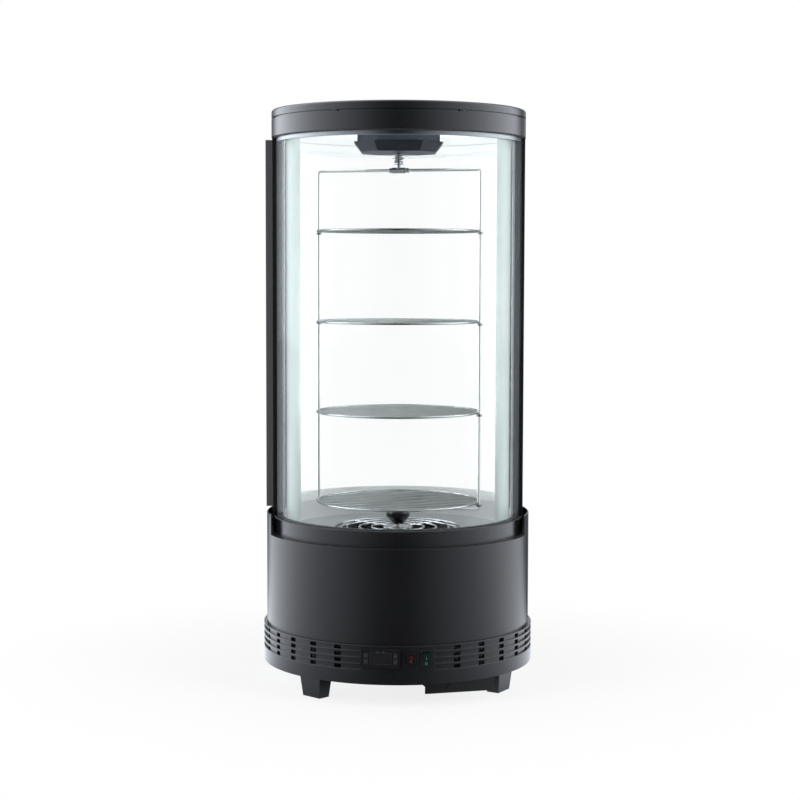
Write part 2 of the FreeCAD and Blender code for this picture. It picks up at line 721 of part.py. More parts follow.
def make_top():
    """Top band with its ledge, white ceiling liner and lid."""
    node("top_band", turned("top_band", [
        (rail_inside, band_low), (band_radius, band_low), (band_radius, band_top),
        (band_inside, band_top), (band_inside, ledge_top), (rail_inside, ledge_top),
    ]))
    liner_edge = band_inside - size.seat_gap
    liner_top = ceiling + size.liner_thickness
    node("ceiling_liner", turned("ceiling_liner", [
        (0, ceiling), (rim_inside, ceiling), (rim_inside, band_low), (rail_inside - size.seat_gap, band_low),
        (rail_inside - size.seat_gap, ledge_top), (liner_edge, ledge_top),
        (liner_edge, ledge_top + size.liner_thickness), (rail_inside, ledge_top + size.liner_thickness),
        (rail_inside, liner_top), (0, liner_top),
    ]))
    spigot = band_inside - size.seat_gap
    spigot_low = ledge_top + size.liner_thickness
    rounded = []
    for turn in (0, 30, 60, 90):
        rounded.append((band_radius - size.lid_round * (1 - cosine(turn)),
                        lid_top - size.lid_round * (1 - sine(turn))))
    node("top_lid", turned("top_lid", [
        (0, lid_top - size.lid_wall), (spigot - size.lid_wall, lid_top - size.lid_wall),
        (spigot - size.lid_wall, spigot_low), (spigot, spigot_low), (spigot, lid_low),
        (band_radius, lid_low), *rounded, (0, lid_top),
    ]))


def make_light_tubes():
    """Frosted tubes beside the pillars, from the chamber's floor to its ceiling."""
    middle = rim_inside - size.seat_gap - size.light_tube_radius
    hollow_radius = size.light_tube_radius - size.light_tube_wall
    height = ceiling - floor_top
    tubes = []
    for side in (-1, 1):
        bearing = FRONT + side * size.light_tube_angle
        x = middle * cosine(bearing)
        y = middle * sine(bearing)
        outside = rod("light_tube_outside", size.light_tube_radius, height, x, y, floor_top)
        inside = rod("light_tube_inside", hollow_radius, height, x, y, floor_top)
        tubes.append(cut("light_tube", outside, [inside]))
    node("light_tubes", grouped("light_tubes", tubes))


def cut_square(half, corner):
    """Square with cut corners, in plan."""
    inner = half - corner
    return [(-half, -inner), (-inner, -half), (inner, -half), (half, -inner),
            (half, inner), (inner, half), (-inner, half), (-half, inner)]


def make_drive():
    """Hood under the ceiling, motor in it, and the shaft, spring and sleeve that turn the rack."""
    slope_top = hood_low + size.hood_slope
    half = size.hood_side / 2
    shell = hood_shell("hood_outside", half, hood_low, slope_top, ceiling, 0)
    hollow = hood_shell("hood_inside", half, hood_low + size.hood_wall, slope_top - size.hood_wall,
                        ceiling, size.hood_wall)
    hole = rod("hood_hole", size.shaft_radius + size.shaft_play, size.hood_drop,
               0, 0, hood_low - size.hood_wall)
    node("motor_hood", cut("motor_hood", shell, [fused("hood_tools", [hollow, hole])]))
    motor_low = ceiling - size.motor_height
    node("drive_motor", rod("drive_motor", size.motor_radius, size.motor_height, 0, 0, motor_low))
    seat = hanger_top + size.clip_radius + size.shaft_radius
    sleeve_bore = size.hanger_wire + size.running_gap
    sleeve_x = -(size.sleeve_length / 2) * cosine(size.rack_turn)
    sleeve_y = (size.sleeve_length / 2) * sine(size.rack_turn)
    shaft = fused("shaft_and_sleeve", [
        rod("shaft", size.shaft_radius, motor_low - size.running_gap - hanger_top, 0, 0, hanger_top),
        rod("spring_seat", size.coil_radius + 2 * size.coil_wire, 2 * size.coil_wire, 0, 0, seat),
        level_rod("sleeve", size.clip_radius, size.sleeve_length, sleeve_x, sleeve_y, hanger_top),
    ])
    bore = level_rod("sleeve_bore", sleeve_bore, size.sleeve_length, sleeve_x, sleeve_y, hanger_top)
    node("drive_shaft", cut("drive_shaft", shaft, [bore]))
    spring_low = seat + 2 * size.coil_wire + size.seat_gap
    node("coupling_spring", spring("coupling_spring", spring_low, hood_low - size.seat_gap))


def hood_shell(name, half, low, slope_top, top, inset):
    """Sloping lower part of the hood with a straight neck up to the ceiling."""
    wide = half - inset
    narrow = wide - size.hood_narrow
    body = doc.addObject("PartDesign::Body", unique(name))
    lower = outline(body, name, cut_square(narrow, size.hood_cut - size.hood_narrow / 2), "XY_Plane")
    bind(lower, AttachmentOffset__Base__z=low)
    upper = outline(body, name, cut_square(wide, size.hood_cut), "XY_Plane")
    bind(upper, AttachmentOffset__Base__z=slope_top)
    slope = body.newObject("PartDesign::AdditiveLoft", unique(name))
    slope.Profile = lower
    slope.Sections = [upper]
    slope.Ruled = True
    neck = outline(body, name, cut_square(wide - size.hood_neck, size.hood_cut), "XY_Plane")
    bind(neck, AttachmentOffset__Base__z=slope_top)
    riser = body.newObject("PartDesign::Pad", unique(name))
    riser.Profile = neck
    bind(riser, Length=top - slope_top)
    return body


def level_rod(name, radius, length, x, y, z):
    """Rod that lies along the rack's bars, starting at the given place."""
    bar = doc.addObject("Part::Cylinder", unique(name))
    bind(bar, Radius=radius, Height=length)
    turn = math.radians(size.rack_turn.value)
    heading = Vector(math.cos(turn), -math.sin(turn), 0)
    bar.Placement = FreeCAD.Placement(Vector(0, 0, 0), FreeCAD.Rotation(UP, heading))
    return place(bar, x, y, z)


def spring(name, low, high):
    """Coil of round wire between two heights."""
    rise = high.value - low.value - 2 * size.coil_wire.value
    helix = Part.makeHelix(rise / SPRING_TURNS, rise, size.coil_radius.value)
    start = Vector(size.coil_radius.value, 0, 0)
    section = Part.Wire([Part.makeCircle(size.coil_wire.value, start, Vector(0, 1, 0))])
    coil = doc.addObject("Part::Feature", unique(name))
    coil.Shape = Part.Wire(helix.Edges).makePipeShell([section], True, True)
    coil.Placement = FreeCAD.Placement(Vector(0, 0, low.value + size.coil_wire.value), FreeCAD.Rotation())
    return coil


def on_rack(along, across):
    """Plan coordinates of a point given along and across the rack's bars."""
    along = as_size(along)
    across = as_size(across)
    x = along * cosine(size.rack_turn) + across * sine(size.rack_turn)
    y = across * cosine(size.rack_turn) - along * sine(size.rack_turn)
    return x, y


def make_rack():
    """Hanger loop of wire, its clips and the round shelves."""
    low = knob_top + size.hanger_wire
    bend = size.hanger_bend
    wires = []
    for height in (low, hanger_top):
        x, y = on_rack(bend - hanger_reach, 0)
        wires.append(level_rod("hanger_bar", size.hanger_wire, 2 * (hanger_reach - bend), x, y, height))
    for side in (1, -1):
        x, y = on_rack(side * hanger_reach, 0)
        wires.append(rod("hanger_upright", size.hanger_wire, hanger_top - low - 2 * bend,
                         x, y, low + bend))
        for height, upward in ((low + bend, -1), (hanger_top - bend, 1)):
            wires.append(hanger_corner(side, upward, height))
    node("rack_frame", fused("rack_frame", wires))
    clips = []
    for index in range(SHELVES):
        height = shelf_first + index * size.shelf_step
        node("shelf_%d" % (index + 1), make_shelf(height))
        for side in (1, -1):
            x, y = on_rack(side * hanger_reach, 0)
            clip_low = height - size.shelf_wire - size.clip_height
            sleeve = rod("clip", size.clip_radius, size.clip_height, x, y, clip_low)
            bore = rod("clip_bore", size.hanger_wire + size.running_gap, size.clip_height, x, y, clip_low)
            clips.append(cut("clip", sleeve, [bore]))
    node("shelf_clips", grouped("shelf_clips", clips))


def hanger_corner(side, upward, height):
    """Quarter bend of the hanger between an upright and a bar."""
    bend = doc.addObject("Part::Torus", unique("hanger_corner"))
    bind(bend, Radius1=size.hanger_bend, Radius2=size.hanger_wire)
    bend.Angle3 = 90
    x, y = on_rack(side * (hanger_reach - size.hanger_bend), 0)
    turn = math.radians(size.rack_turn.value)
    outward = Vector(side * math.cos(turn), -side * math.sin(turn), 0)
    rise = Vector(0, 0, upward)
    facing = FreeCAD.Rotation(outward, rise, Vector(0, 0, 0), "XYZ")
    bend.Placement = FreeCAD.Placement(Vector(0, 0, 0), facing)
    return place(bend, x, y, height)


def make_shelf(height):
    """Rim of wire with parallel bars across it."""
    wires = [ring("shelf_rim", shelf_radius, size.shelf_wire, height)]
    count = int((shelf_radius.value - size.shelf_bar_step.value / 3) / size.shelf_bar_step.value)
    for index in range(-count, count + 1):
        across = index * size.shelf_bar_step
        half = Size("sqrt(%s ^ 2 - %s ^ 2)" % (shelf_radius.text, across.text),
                    math.sqrt(shelf_radius.value ** 2 - across.value ** 2))
        x, y = on_rack(-half, across)
        wires.append(level_rod("shelf_bar", size.shelf_bar, 2 * half, x, y, height))
    return fused("shelf", wires)


def make_door():
    """Curved rear door: stiles, rails, double glass, gasket and handle."""
    stile_profile = tube_corners(rail_inside, rail_radius, door_low, door_top)
    hinge_middle = RIGHT + size.door_edge + size.stile_sweep / 2
    handle_middle = LEFT - size.door_edge - size.stile_sweep / 2
    hinge_stile = turned("hinge_stile", stile_profile, size.stile_sweep, hinge_middle)
    bore = size.hinge_pin + size.running_gap
    bore_depth = size.hinge_pin_length - size.door_play + size.seat_gap
    node("door_hinge_stile", cut("door_hinge_stile", hinge_stile, [
        rod("hinge_bore_low", bore, bore_depth, hinge_x, hinge_y, door_low),
        rod("hinge_bore_high", bore, bore_depth, hinge_x, hinge_y, door_top - bore_depth),
    ]))
    node("door_handle_stile", turned("door_handle_stile", stile_profile, size.stile_sweep, handle_middle))
    inner_sweep = door_sweep - 2 * size.stile_sweep
    for label, low in (("door_bottom_rail", door_low), ("door_top_rail", door_top - size.door_rail)):
        node(label, turned(label, tube_corners(rail_inside, rail_radius, low, low + size.door_rail),
                           inner_sweep, BACK))
    for label, outside in (("door_glass_outer", outer_pane), ("door_glass_inner", inner_pane)):
        node(label, turned(
            label, tube_corners(outside - size.pane_thickness, outside,
                                door_low + size.door_rail, door_top - size.door_rail),
            inner_sweep, BACK))
    seals = []
    for low in (door_low - size.gasket_thickness, door_top):
        seals.append(turned("gasket_level", tube_corners(
            seal_inside, seal_outside, low, low + size.gasket_thickness), inner_sweep, BACK))
    seal_sweep = degrees_at_rail(size.gasket_thickness)
    for middle in (RIGHT + size.door_edge - seal_sweep / 2, LEFT - size.door_edge + seal_sweep / 2):
        seals.append(turned("gasket_upright", tube_corners(
            seal_inside, seal_outside, door_low, door_top), seal_sweep, middle))
    node("door_gasket", grouped("door_gasket", seals))
    pull_low = door_low + size.door_play
    node("door_handle", turned("door_handle", tube_corners(
        rail_radius, rail_radius + size.handle_reach, pull_low, door_top),
        degrees_at_rail(size.handle_width), handle_middle))
    node("hinge_pins", grouped("hinge_pins", [
        rod("hinge_pin_low", size.hinge_pin, size.hinge_pin_length, hinge_x, hinge_y, collar_top),
        rod("hinge_pin_high", size.hinge_pin, size.hinge_pin_length, hinge_x, hinge_y,
            band_low - size.hinge_pin_length),
    ]))


def make_tray():
    """Drip tray with a wide front plate, hung by its rims in two runners under the base plate."""
    bearing = FRONT + size.tray_turn
    floor = size.foot_height - size.tray_play - size.tray_height
    half = size.tray_width / 2
    rear = tray_front - size.tray_length

    def slab(name, across, deep, high, side, inner, z):
        x = inner * cosine(bearing) - side * sine(bearing)
        y = inner * sine(bearing) + side * cosine(bearing)
        return block(name, deep, across, high, x, y, z, bearing)

    left = size.tray_side - half
    tray = fused("tray_outside", [
        slab("tray_pan", size.tray_width, size.tray_length, size.tray_height, left, rear, floor),
        slab("tray_rims", size.tray_width + 2 * size.tray_rim, size.tray_length, size.tray_wall,
             left - size.tray_rim, rear, floor + size.tray_height - size.tray_wall),
        slab("tray_front", size.tray_width + size.tray_front_left + size.tray_front_right, size.tray_wall,
             size.tray_height, left - size.tray_front_left, tray_front, floor),
    ])
    hollow = slab("tray_hollow", size.tray_width - 2 * size.tray_wall, size.tray_length - 2 * size.tray_wall,
                  size.tray_height, left + size.tray_wall, rear + size.tray_wall, floor + size.tray_wall)
    node("drip_tray", cut("drip_tray", tray, [hollow]))
    shelf_high = floor + size.tray_height - size.tray_wall - size.tray_play
    runners = []
    reach = size.tray_rim + size.tray_wall + size.tray_play
    runner_length = size.tray_length - size.tray_play
    right = left + size.tray_width
    for lip_side, wall_side in ((left - reach, left - reach),
                                (right + size.tray_play, right + reach - size.tray_wall)):
        runners.append(fused("runner", [
            slab("runner_wall", size.tray_wall, runner_length, size.foot_height - shelf_high + size.tray_wall,
                 wall_side, rear, shelf_high - size.tray_wall),
            slab("runner_lip", reach - size.tray_play, runner_length, size.tray_wall,
                 lip_side, rear, shelf_high - size.tray_wall),
        ]))
    node("tray_runners", grouped("tray_runners", runners))


def make_compressor():
    """Hermetic compressor on rubber mounts on the base plate."""
    wall = size.compressor_wall
    outside = size.compressor_radius
    slope_low = compressor_low + size.compressor_shoulder
    slope_high = compressor_top - size.compressor_shoulder
    shell = turned("compressor", [
        (0, compressor_low), (size.compressor_foot, compressor_low), (outside, slope_low),
        (outside, slope_high), (size.compressor_crown, compressor_top), (0, compressor_top),
        (0, compressor_top - wall), (size.compressor_crown - wall, compressor_top - wall),
        (outside - wall, slope_high), (outside - wall, slope_low),
        (size.compressor_foot - wall, compressor_low + wall), (0, compressor_low + wall),
    ])
    node("compressor", place(shell, size.compressor_x, size.compressor_y))
    mounts = []
    for turn in (30, 150, 270):
        mounts.append(rod("grommet", size.grommet_radius, size.grommet_height,
                          size.compressor_x + size.mount_circle * cosine(turn),
                          size.compressor_y + size.mount_circle * sine(turn), plate_top))
    node("compressor_grommets", grouped("compressor_grommets", mounts))


def finned_coil(width, deep, high, y, z, rows):
    """Stack of fins on straight tubes."""
    parts = []
    count = int(width.value / size.fin_step.value) + 1
    first = -(count - 1) / 2 * size.fin_step
    for index in range(count):
        parts.append(block("fin", size.fin_thickness, deep, high,
                           first + index * size.fin_step - size.fin_thickness / 2, y - deep / 2, z))
    length = (count - 1) * size.fin_step + size.fin_thickness
    for row in range(rows):
        tube = rod("coil_tube", size.coil_tube, length, -(length / 2), y,
                   z + high * (row + 0.5) / rows, 90, Vector(0, 1, 0))
        parts.append(tube)
    return fused("finned_coil", parts)


def fan_wheel(name, radius, z):
    """Hub with leaning blades, its lower face at a height, turning about Z."""
    parts = [rod(name + "_hub", size.hub_radius, size.hub_height, 0, 0, z)]
    middle = z + size.hub_height / 2
    for index in range(FAN_BLADES):
        turn = 360 / FAN_BLADES * index
        blade = doc.addObject("Part::Box", unique(name + "_blade"))
        bind(blade, Length=radius - size.hub_radius + size.blade_thickness, Width=size.blade_width,
             Height=size.blade_thickness)
        lean = FreeCAD.Placement(Vector(0, 0, 0), FreeCAD.Rotation(Vector(1, 0, 0), size.blade_lean.value))
        start = size.hub_radius.value - size.blade_thickness.value
        offset = FreeCAD.Placement(
            Vector(start, -size.blade_width.value / 2, -size.blade_thickness.value / 2), FreeCAD.Rotation())
        spin = FreeCAD.Placement(Vector(0, 0, middle.value), FreeCAD.Rotation(UP, turn))
        blade.Placement = spin * lean * offset
        parts.append(blade)
    return fused(name, parts)


def make_cooling():
    """Condenser and evaporator coils with their fans."""
    node("condenser_coil", finned_coil(size.condenser_width, size.condenser_depth, size.condenser_height,
                                       condenser_y, plate_top, 4))
    fan_height = plate_top + size.condenser_height / 2
    behind = condenser_y + size.condenser_depth / 2 + size.blower_gap
    wheel = fan_wheel("condenser_fan", size.blower_radius, as_size(0))
    spinning = grouped("condenser_fan", [wheel])
    place(spinning, 0, behind + size.hub_height, fan_height, 90, Vector(1, 0, 0))
    node("condenser_fan", spinning)
    motor_front = behind + size.hub_height + size.seat_gap
    motor = rod("blower_motor", size.fan_motor_radius, size.fan_motor_length,
                0, motor_front + size.fan_motor_length, fan_height, 90, Vector(1, 0, 0))
    stand = block("blower_stand", size.fan_motor_radius, size.fan_motor_length, fan_height - plate_top,
                  -(size.fan_motor_radius / 2), motor_front, plate_top)
    node("condenser_fan_motor", fused("condenser_fan_motor", [motor, stand]))
    node("evaporator_coil", finned_coil(size.evaporator_width, size.evaporator_depth, size.evaporator_height,
                                        evaporator_y, tub_floor, 2))
    node("evaporator_fan_motor", rod("evaporator_fan_motor", size.fan_motor_radius, size.fan_motor_length,
                                     0, 0, tub_floor))
    node("evaporator_fan", fan_wheel("evaporator_fan", evaporator_fan_radius,
                                     tub_floor + size.fan_motor_length + size.seat_gap))


def bent_pipe(name, spots, radius, bend):
    """Pipe along straight runs joined by arcs."""
    points = [Vector(*[as_size(number).value for number in spot]) for spot in spots]
    edges = []
    start = points[0]
    for before, corner, after in zip(points, points[1:], points[2:]):
        into = (corner - before).normalize()
        out = (after - corner).normalize()
        turn = into.getAngle(out)
        setback = bend.value * math.tan(turn / 2)
        first = corner - into * setback
        last = corner + out * setback
        inward = (out - into).normalize()
        middle = corner + inward * (bend.value / math.cos(turn / 2) - bend.value)
        edges.append(Part.LineSegment(start, first).toShape())
        edges.append(Part.Arc(first, middle, last).toShape())
        start = last
    edges.append(Part.LineSegment(start, points[-1]).toShape())
    heading = points[1] - points[0]
    section = Part.Wire([Part.makeCircle(radius.value, points[0], heading)])
    pipe = doc.addObject("Part::Feature", unique(name))
    pipe.Shape = Part.Wire(edges).makePipeShell([section], True, False)
    return pipe


def make_lines():
    """Copper lines from the compressor to the coils, with the filter dryer on the way."""
    right = size.condenser_width / 2 + 2 * size.line_bend
    over = compressor_top + size.line_rise
    coil_height = plate_top + size.condenser_height - size.line_inset
    discharge = bent_pipe("discharge_line", [
        (size.compressor_x, size.compressor_y, compressor_top),
        (size.compressor_x, size.compressor_y, over),
        (-right, size.compressor_y, over),
        (-right, condenser_y, over),
        (-right, condenser_y, coil_height),
        (-(size.condenser_width / 2) - size.fin_thickness, condenser_y, coil_height),
    ], size.line_radius, size.line_bend)
    low_height = plate_top + size.line_inset
    dryer_y = condenser_y + size.condenser_depth + size.dryer_length
    liquid = bent_pipe("liquid_line", [
        (size.condenser_width / 2 + size.fin_thickness, condenser_y, low_height),
        (right, condenser_y, low_height),
        (right, dryer_y, low_height),
    ], size.line_radius, size.line_bend)
    dryer = rod("dryer", size.dryer_radius, size.dryer_length,
                right, dryer_y, low_height, -90, Vector(1, 0, 0))
    dryer_end = dryer_y + size.dryer_length
    riser = bent_pipe("riser_line", [
        (right, dryer_end, low_height),
        (right, dryer_end + 2 * size.line_bend, low_height),
        (right, dryer_end + 2 * size.line_bend, tub_low),
    ], size.line_radius, size.line_bend)
    side = size.compressor_x + size.compressor_radius
    middle = compressor_low + size.compressor_height / 2
    suction = bent_pipe("suction_line", [
        (side, size.compressor_y, middle),
        (side + 2 * size.line_bend, size.compressor_y, middle),
        (side + 2 * size.line_bend, size.compressor_y, tub_low),
    ], size.line_radius, size.line_bend)
    node("refrigerant_lines", grouped("refrigerant_lines", [
        discharge, fused("liquid_side", [liquid, dryer, riser]), suction]))


def make_thermostat():
    """Digital thermostat: case with a face, window and four buttons."""
    angle = size.thermostat_angle
    middle = control_height
    case_width = size.thermostat_width - 2 * size.case_inset
    case_height = size.thermostat_height - 2 * size.case_inset
    face = radial_block("thermostat_face", size.thermostat_width, size.face_thickness, size.thermostat_height,
                        control_seat, angle, middle - size.thermostat_height / 2)
    case = radial_block("thermostat_rear", case_width, size.thermostat_depth, case_height,
                        control_seat - size.thermostat_depth, angle, middle - case_height / 2)
    window_in = control_face - size.window_depth
    window = radial_block("thermostat_window", size.display_width, size.window_depth, size.display_height,
                          window_in, angle, middle - size.display_height / 2)
    tools = [radial_block("window_seat", size.display_width, size.window_depth, size.display_height,
                          window_in, angle, middle - size.display_height / 2)]
    beside = (size.display_width + size.thermostat_width) / 4
    rise = size.button_height / 2 + size.button_play
    pocket = size.button_depth + size.button_travel + size.button_play
    names = (("set_button", -1, 1), ("defrost_button", -1, -1), ("up_button", 1, 1), ("down_button", 1, -1))
    for label, side, level in names:
        low = middle + level * rise - size.button_height / 2
        button_in = control_face - size.button_depth + size.button_travel
        node(label, radial_block(label, size.button_width, size.button_depth, size.button_height,
                                 button_in, angle, low, side * beside))
        tools.append(radial_block(
            "button_seat", size.button_width + 2 * size.button_play, pocket,
            size.button_height + 2 * size.button_play, control_face - pocket + size.button_travel, angle,
            low - size.button_play, side * beside))
    node("thermostat_case", cut("thermostat_case", fused("thermostat_solid", [face, case]), tools))
    node("thermostat_display", window)


def switch(name, width, height, angle):
    """Frame with a case and a rocker that leans on a level axis."""
    middle = control_height
    case_width = width - 2 * size.case_inset
    case_height = height - 2 * size.case_inset
    opening_width = width - 2 * size.switch_border
    opening_height = height - 2 * size.switch_border
    face = radial_block(name + "_face", width, size.face_thickness, height,
                        control_seat, angle, middle - height / 2)
    case = radial_block(name + "_rear", case_width, size.switch_depth, case_height,
                        control_seat - size.switch_depth, angle, middle - case_height / 2)
    well = radial_block(name + "_well", opening_width - 2 * size.button_play, size.rocker_well,
                        opening_height - 2 * size.button_play, control_face - size.rocker_well, angle,
                        middle - opening_height / 2 + size.button_play)
    rocker_width = opening_width - 4 * size.button_play
    lean = size.rocker_depth * sine(size.rocker_tilt)
    rocker_height = opening_height - 4 * size.button_play - lean
    axis_radius = control_face - size.rocker_depth / 2 + size.control_proud
    pin_length = rocker_width + 2 * size.trunnion_reach
    bore = trunnions(name + "_bore", size.trunnion_radius + size.running_gap,
                     pin_length + 2 * size.button_play, axis_radius, angle)
    frame = cut(name + "_frame", fused(name + "_solid", [face, case]), [fused(name + "_tools", [well, bore])])
    rocker = fused(name + "_rocker", [
        rocker_block(name, rocker_width, rocker_height, axis_radius, angle, middle),
        trunnions(name + "_trunnions", size.trunnion_radius, pin_length, axis_radius, angle),
    ])
    return frame, rocker


def trunnions(name, radius, length, axis_radius, angle):
    """Level pin across a switch, centred on the rocker's axis."""
    bearing = FRONT + angle
    pin = doc.addObject("Part::Cylinder", unique(name))
    bind(pin, Radius=radius, Height=length)
    turn = math.radians(bearing.value)
    along = Vector(-math.sin(turn), math.cos(turn), 0)
    pin.Placement = FreeCAD.Placement(Vector(0, 0, 0), FreeCAD.Rotation(UP, along))
    x = axis_radius * cosine(bearing) + length / 2 * sine(bearing)
    y = axis_radius * sine(bearing) - length / 2 * cosine(bearing)
    return place(pin, x, y, control_height)


def rocker_block(name, width, height, radius, angle, z):
    """Rocker leaning at rest about a level axis in its middle."""
    box = doc.addObject("Part::Box", unique(name + "_rocker"))
    bind(box, Length=size.rocker_depth, Width=width, Height=height)
    bearing = FRONT + angle
    centre = FreeCAD.Placement(
        Vector(-size.rocker_depth.value / 2, -width.value / 2, -height.value / 2), FreeCAD.Rotation())
    lean = FreeCAD.Placement(Vector(0, 0, 0), FreeCAD.Rotation(Vector(0, 1, 0), size.rocker_tilt.value))
    spot = Vector(radius.value * cosine(bearing).value, radius.value * sine(bearing).value, z.value)
    turn = FreeCAD.Placement(spot, FreeCAD.Rotation(UP, bearing.value))
    box.Placement = turn * lean * centre
    return box


def make_switches():
    light_frame, light_rocker = switch("light", size.light_width, size.light_height, size.light_angle)
    power_frame, power_rocker = switch("power", size.power_width, size.power_height, size.power_angle)
    node("switch_frames", grouped("switch_frames", [light_frame, power_frame]))
    node("light_rocker", light_rocker)
    node("power_rocker", power_rocker)


def make_inlet():
    """Mains inlet at the back of the skirt, with a socket for a lead."""
    case_width = size.inlet_width - 2 * size.case_inset
    case_height = size.inlet_height - 2 * size.case_inset
    middle = control_height
    face = radial_block("inlet_face", size.inlet_width, size.face_thickness, size.inlet_height,
                        control_seat, 180, middle - size.inlet_height / 2)
    case = radial_block("inlet_rear", case_width, size.inlet_depth, case_height,
                        control_seat - size.inlet_depth, 180, middle - case_height / 2)
    socket = radial_block("inlet_socket", size.socket_width, size.socket_depth, size.socket_height,
                          control_face - size.socket_depth, 180, middle - size.socket_height / 2)
    node("power_inlet", cut("power_inlet", fused("inlet_solid", [face, case]), [socket]))


make_feet()
make_base_plate()
make_vent_skirt()
make_base_panel()
make_tub()
make_chamber_floor()
make_fan_guard()
make_pivot()
make_rack()
make_front()
make_pillars()
make_top()
make_light_tubes()
make_drive()
make_door()
make_tray()
make_compressor()
make_cooling()
make_lines()
make_thermostat()
make_switches()
make_inlet()
doc.recompute()

faults = [thing.Name for thing in doc.Objects if {"Invalid", "Error"} & set(thing.State)]
for label, thing in finished.items():
    if thing.Shape.isNull() or not thing.Shape.isValid() or not thing.Shape.Solids:
        faults.append(label)
if faults:
    raise RuntimeError("failed: " + ", ".join(faults))

for label, thing in finished.items():
    thing.Shape.exportStep("parts/%s.step" % label)
    bounds = thing.Shape.BoundBox
    print("%-22s %2d solids %10.1f mm3  x %.1f..%.1f  y %.1f..%.1f  z %.1f..%.1f" % (
        label, len(thing.Shape.Solids), thing.Shape.Volume, bounds.XMin, bounds.XMax,
        bounds.YMin, bounds.YMax, bounds.ZMin, bounds.ZMax))
print(len(finished), "parts")
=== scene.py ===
"""Looks of a round chilled display cabinet with a turning wire rack, in metres."""

import math

import bmesh
import bpy
from bpy.props import FloatProperty, FloatVectorProperty, PointerProperty
from mathutils import Matrix, Vector


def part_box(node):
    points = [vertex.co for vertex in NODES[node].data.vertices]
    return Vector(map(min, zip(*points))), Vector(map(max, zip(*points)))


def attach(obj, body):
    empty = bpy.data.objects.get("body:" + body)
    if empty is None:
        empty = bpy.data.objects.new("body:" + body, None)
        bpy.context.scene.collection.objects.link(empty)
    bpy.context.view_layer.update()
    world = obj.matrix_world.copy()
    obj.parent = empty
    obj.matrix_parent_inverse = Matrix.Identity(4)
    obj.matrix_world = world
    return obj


bl_info = {
    "name": "Display cabinet looks",
    "version": (1, 0, 0),
    "blender": (4, 5, 0),
    "location": "View3D > Sidebar > Cabinet",
    "description": "Finishes, small fittings and studio for a round chilled display cabinet",
    "category": "Object",
}

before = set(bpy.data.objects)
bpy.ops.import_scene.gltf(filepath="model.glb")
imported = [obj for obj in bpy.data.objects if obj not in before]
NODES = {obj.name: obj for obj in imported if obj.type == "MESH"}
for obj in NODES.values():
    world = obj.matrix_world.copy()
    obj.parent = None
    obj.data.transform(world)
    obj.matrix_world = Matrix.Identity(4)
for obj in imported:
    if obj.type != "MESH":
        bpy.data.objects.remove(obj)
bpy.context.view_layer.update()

MILLIMETRE = 0.001
FRONT = -math.pi / 2
BACK = math.pi / 2
UP = Vector((0.0, 0.0, 1.0))


# Measures taken from the CAD pieces

FACING_OUT = 0.9
FLAT_WITHIN = 0.05 * MILLIMETRE


def radii(node):
    """Least and largest distance of a piece from the cabinet's axis."""
    distances = [math.hypot(corner.co.x, corner.co.y) for corner in NODES[node].data.vertices]
    return min(distances), max(distances)


def heights(node):
    """Lowest and highest level of a piece."""
    low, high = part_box(node)
    return low[2], high[2]


def half_sweep(node, middle):
    """How far a curved piece reaches round the axis on each side of its middle."""
    corners = NODES[node].data.vertices
    return max(abs(math.atan2(corner.co.y, corner.co.x) - middle) for corner in corners)


def outer_face(node):
    """Place on the middle of a control's outer face: X across it, Y up it, Z out of it."""
    low, high = (Vector(corner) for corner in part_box(node))
    outwards = Vector((low.x + high.x, low.y + high.y, 0.0)).normalized()
    faces = [face for face in NODES[node].data.polygons if face.normal.dot(outwards) > FACING_OUT]
    out = max(faces, key=lambda face: face.area).normal.copy()
    depth = max(face.center.dot(out) for face in faces)
    flat = [face for face in faces if depth - face.center.dot(out) < FLAT_WITHIN]
    area = sum(face.area for face in flat)
    middle = sum((face.center * face.area for face in flat), Vector()) / area
    across = UP.cross(out).normalized()
    axes = Matrix((across, out.cross(across), out)).transposed()
    return Matrix.Translation(middle) @ axes.to_4x4()


def facing(bearing, radius, height):
    """Place on the cabinet's side: X across it, Y up it, Z out of it."""
    out = Vector((math.cos(bearing), math.sin(bearing), 0.0))
    axes = Matrix((UP.cross(out), UP, out)).transposed()
    return Matrix.Translation(out * radius + UP * height) @ axes.to_4x4()


# Settings


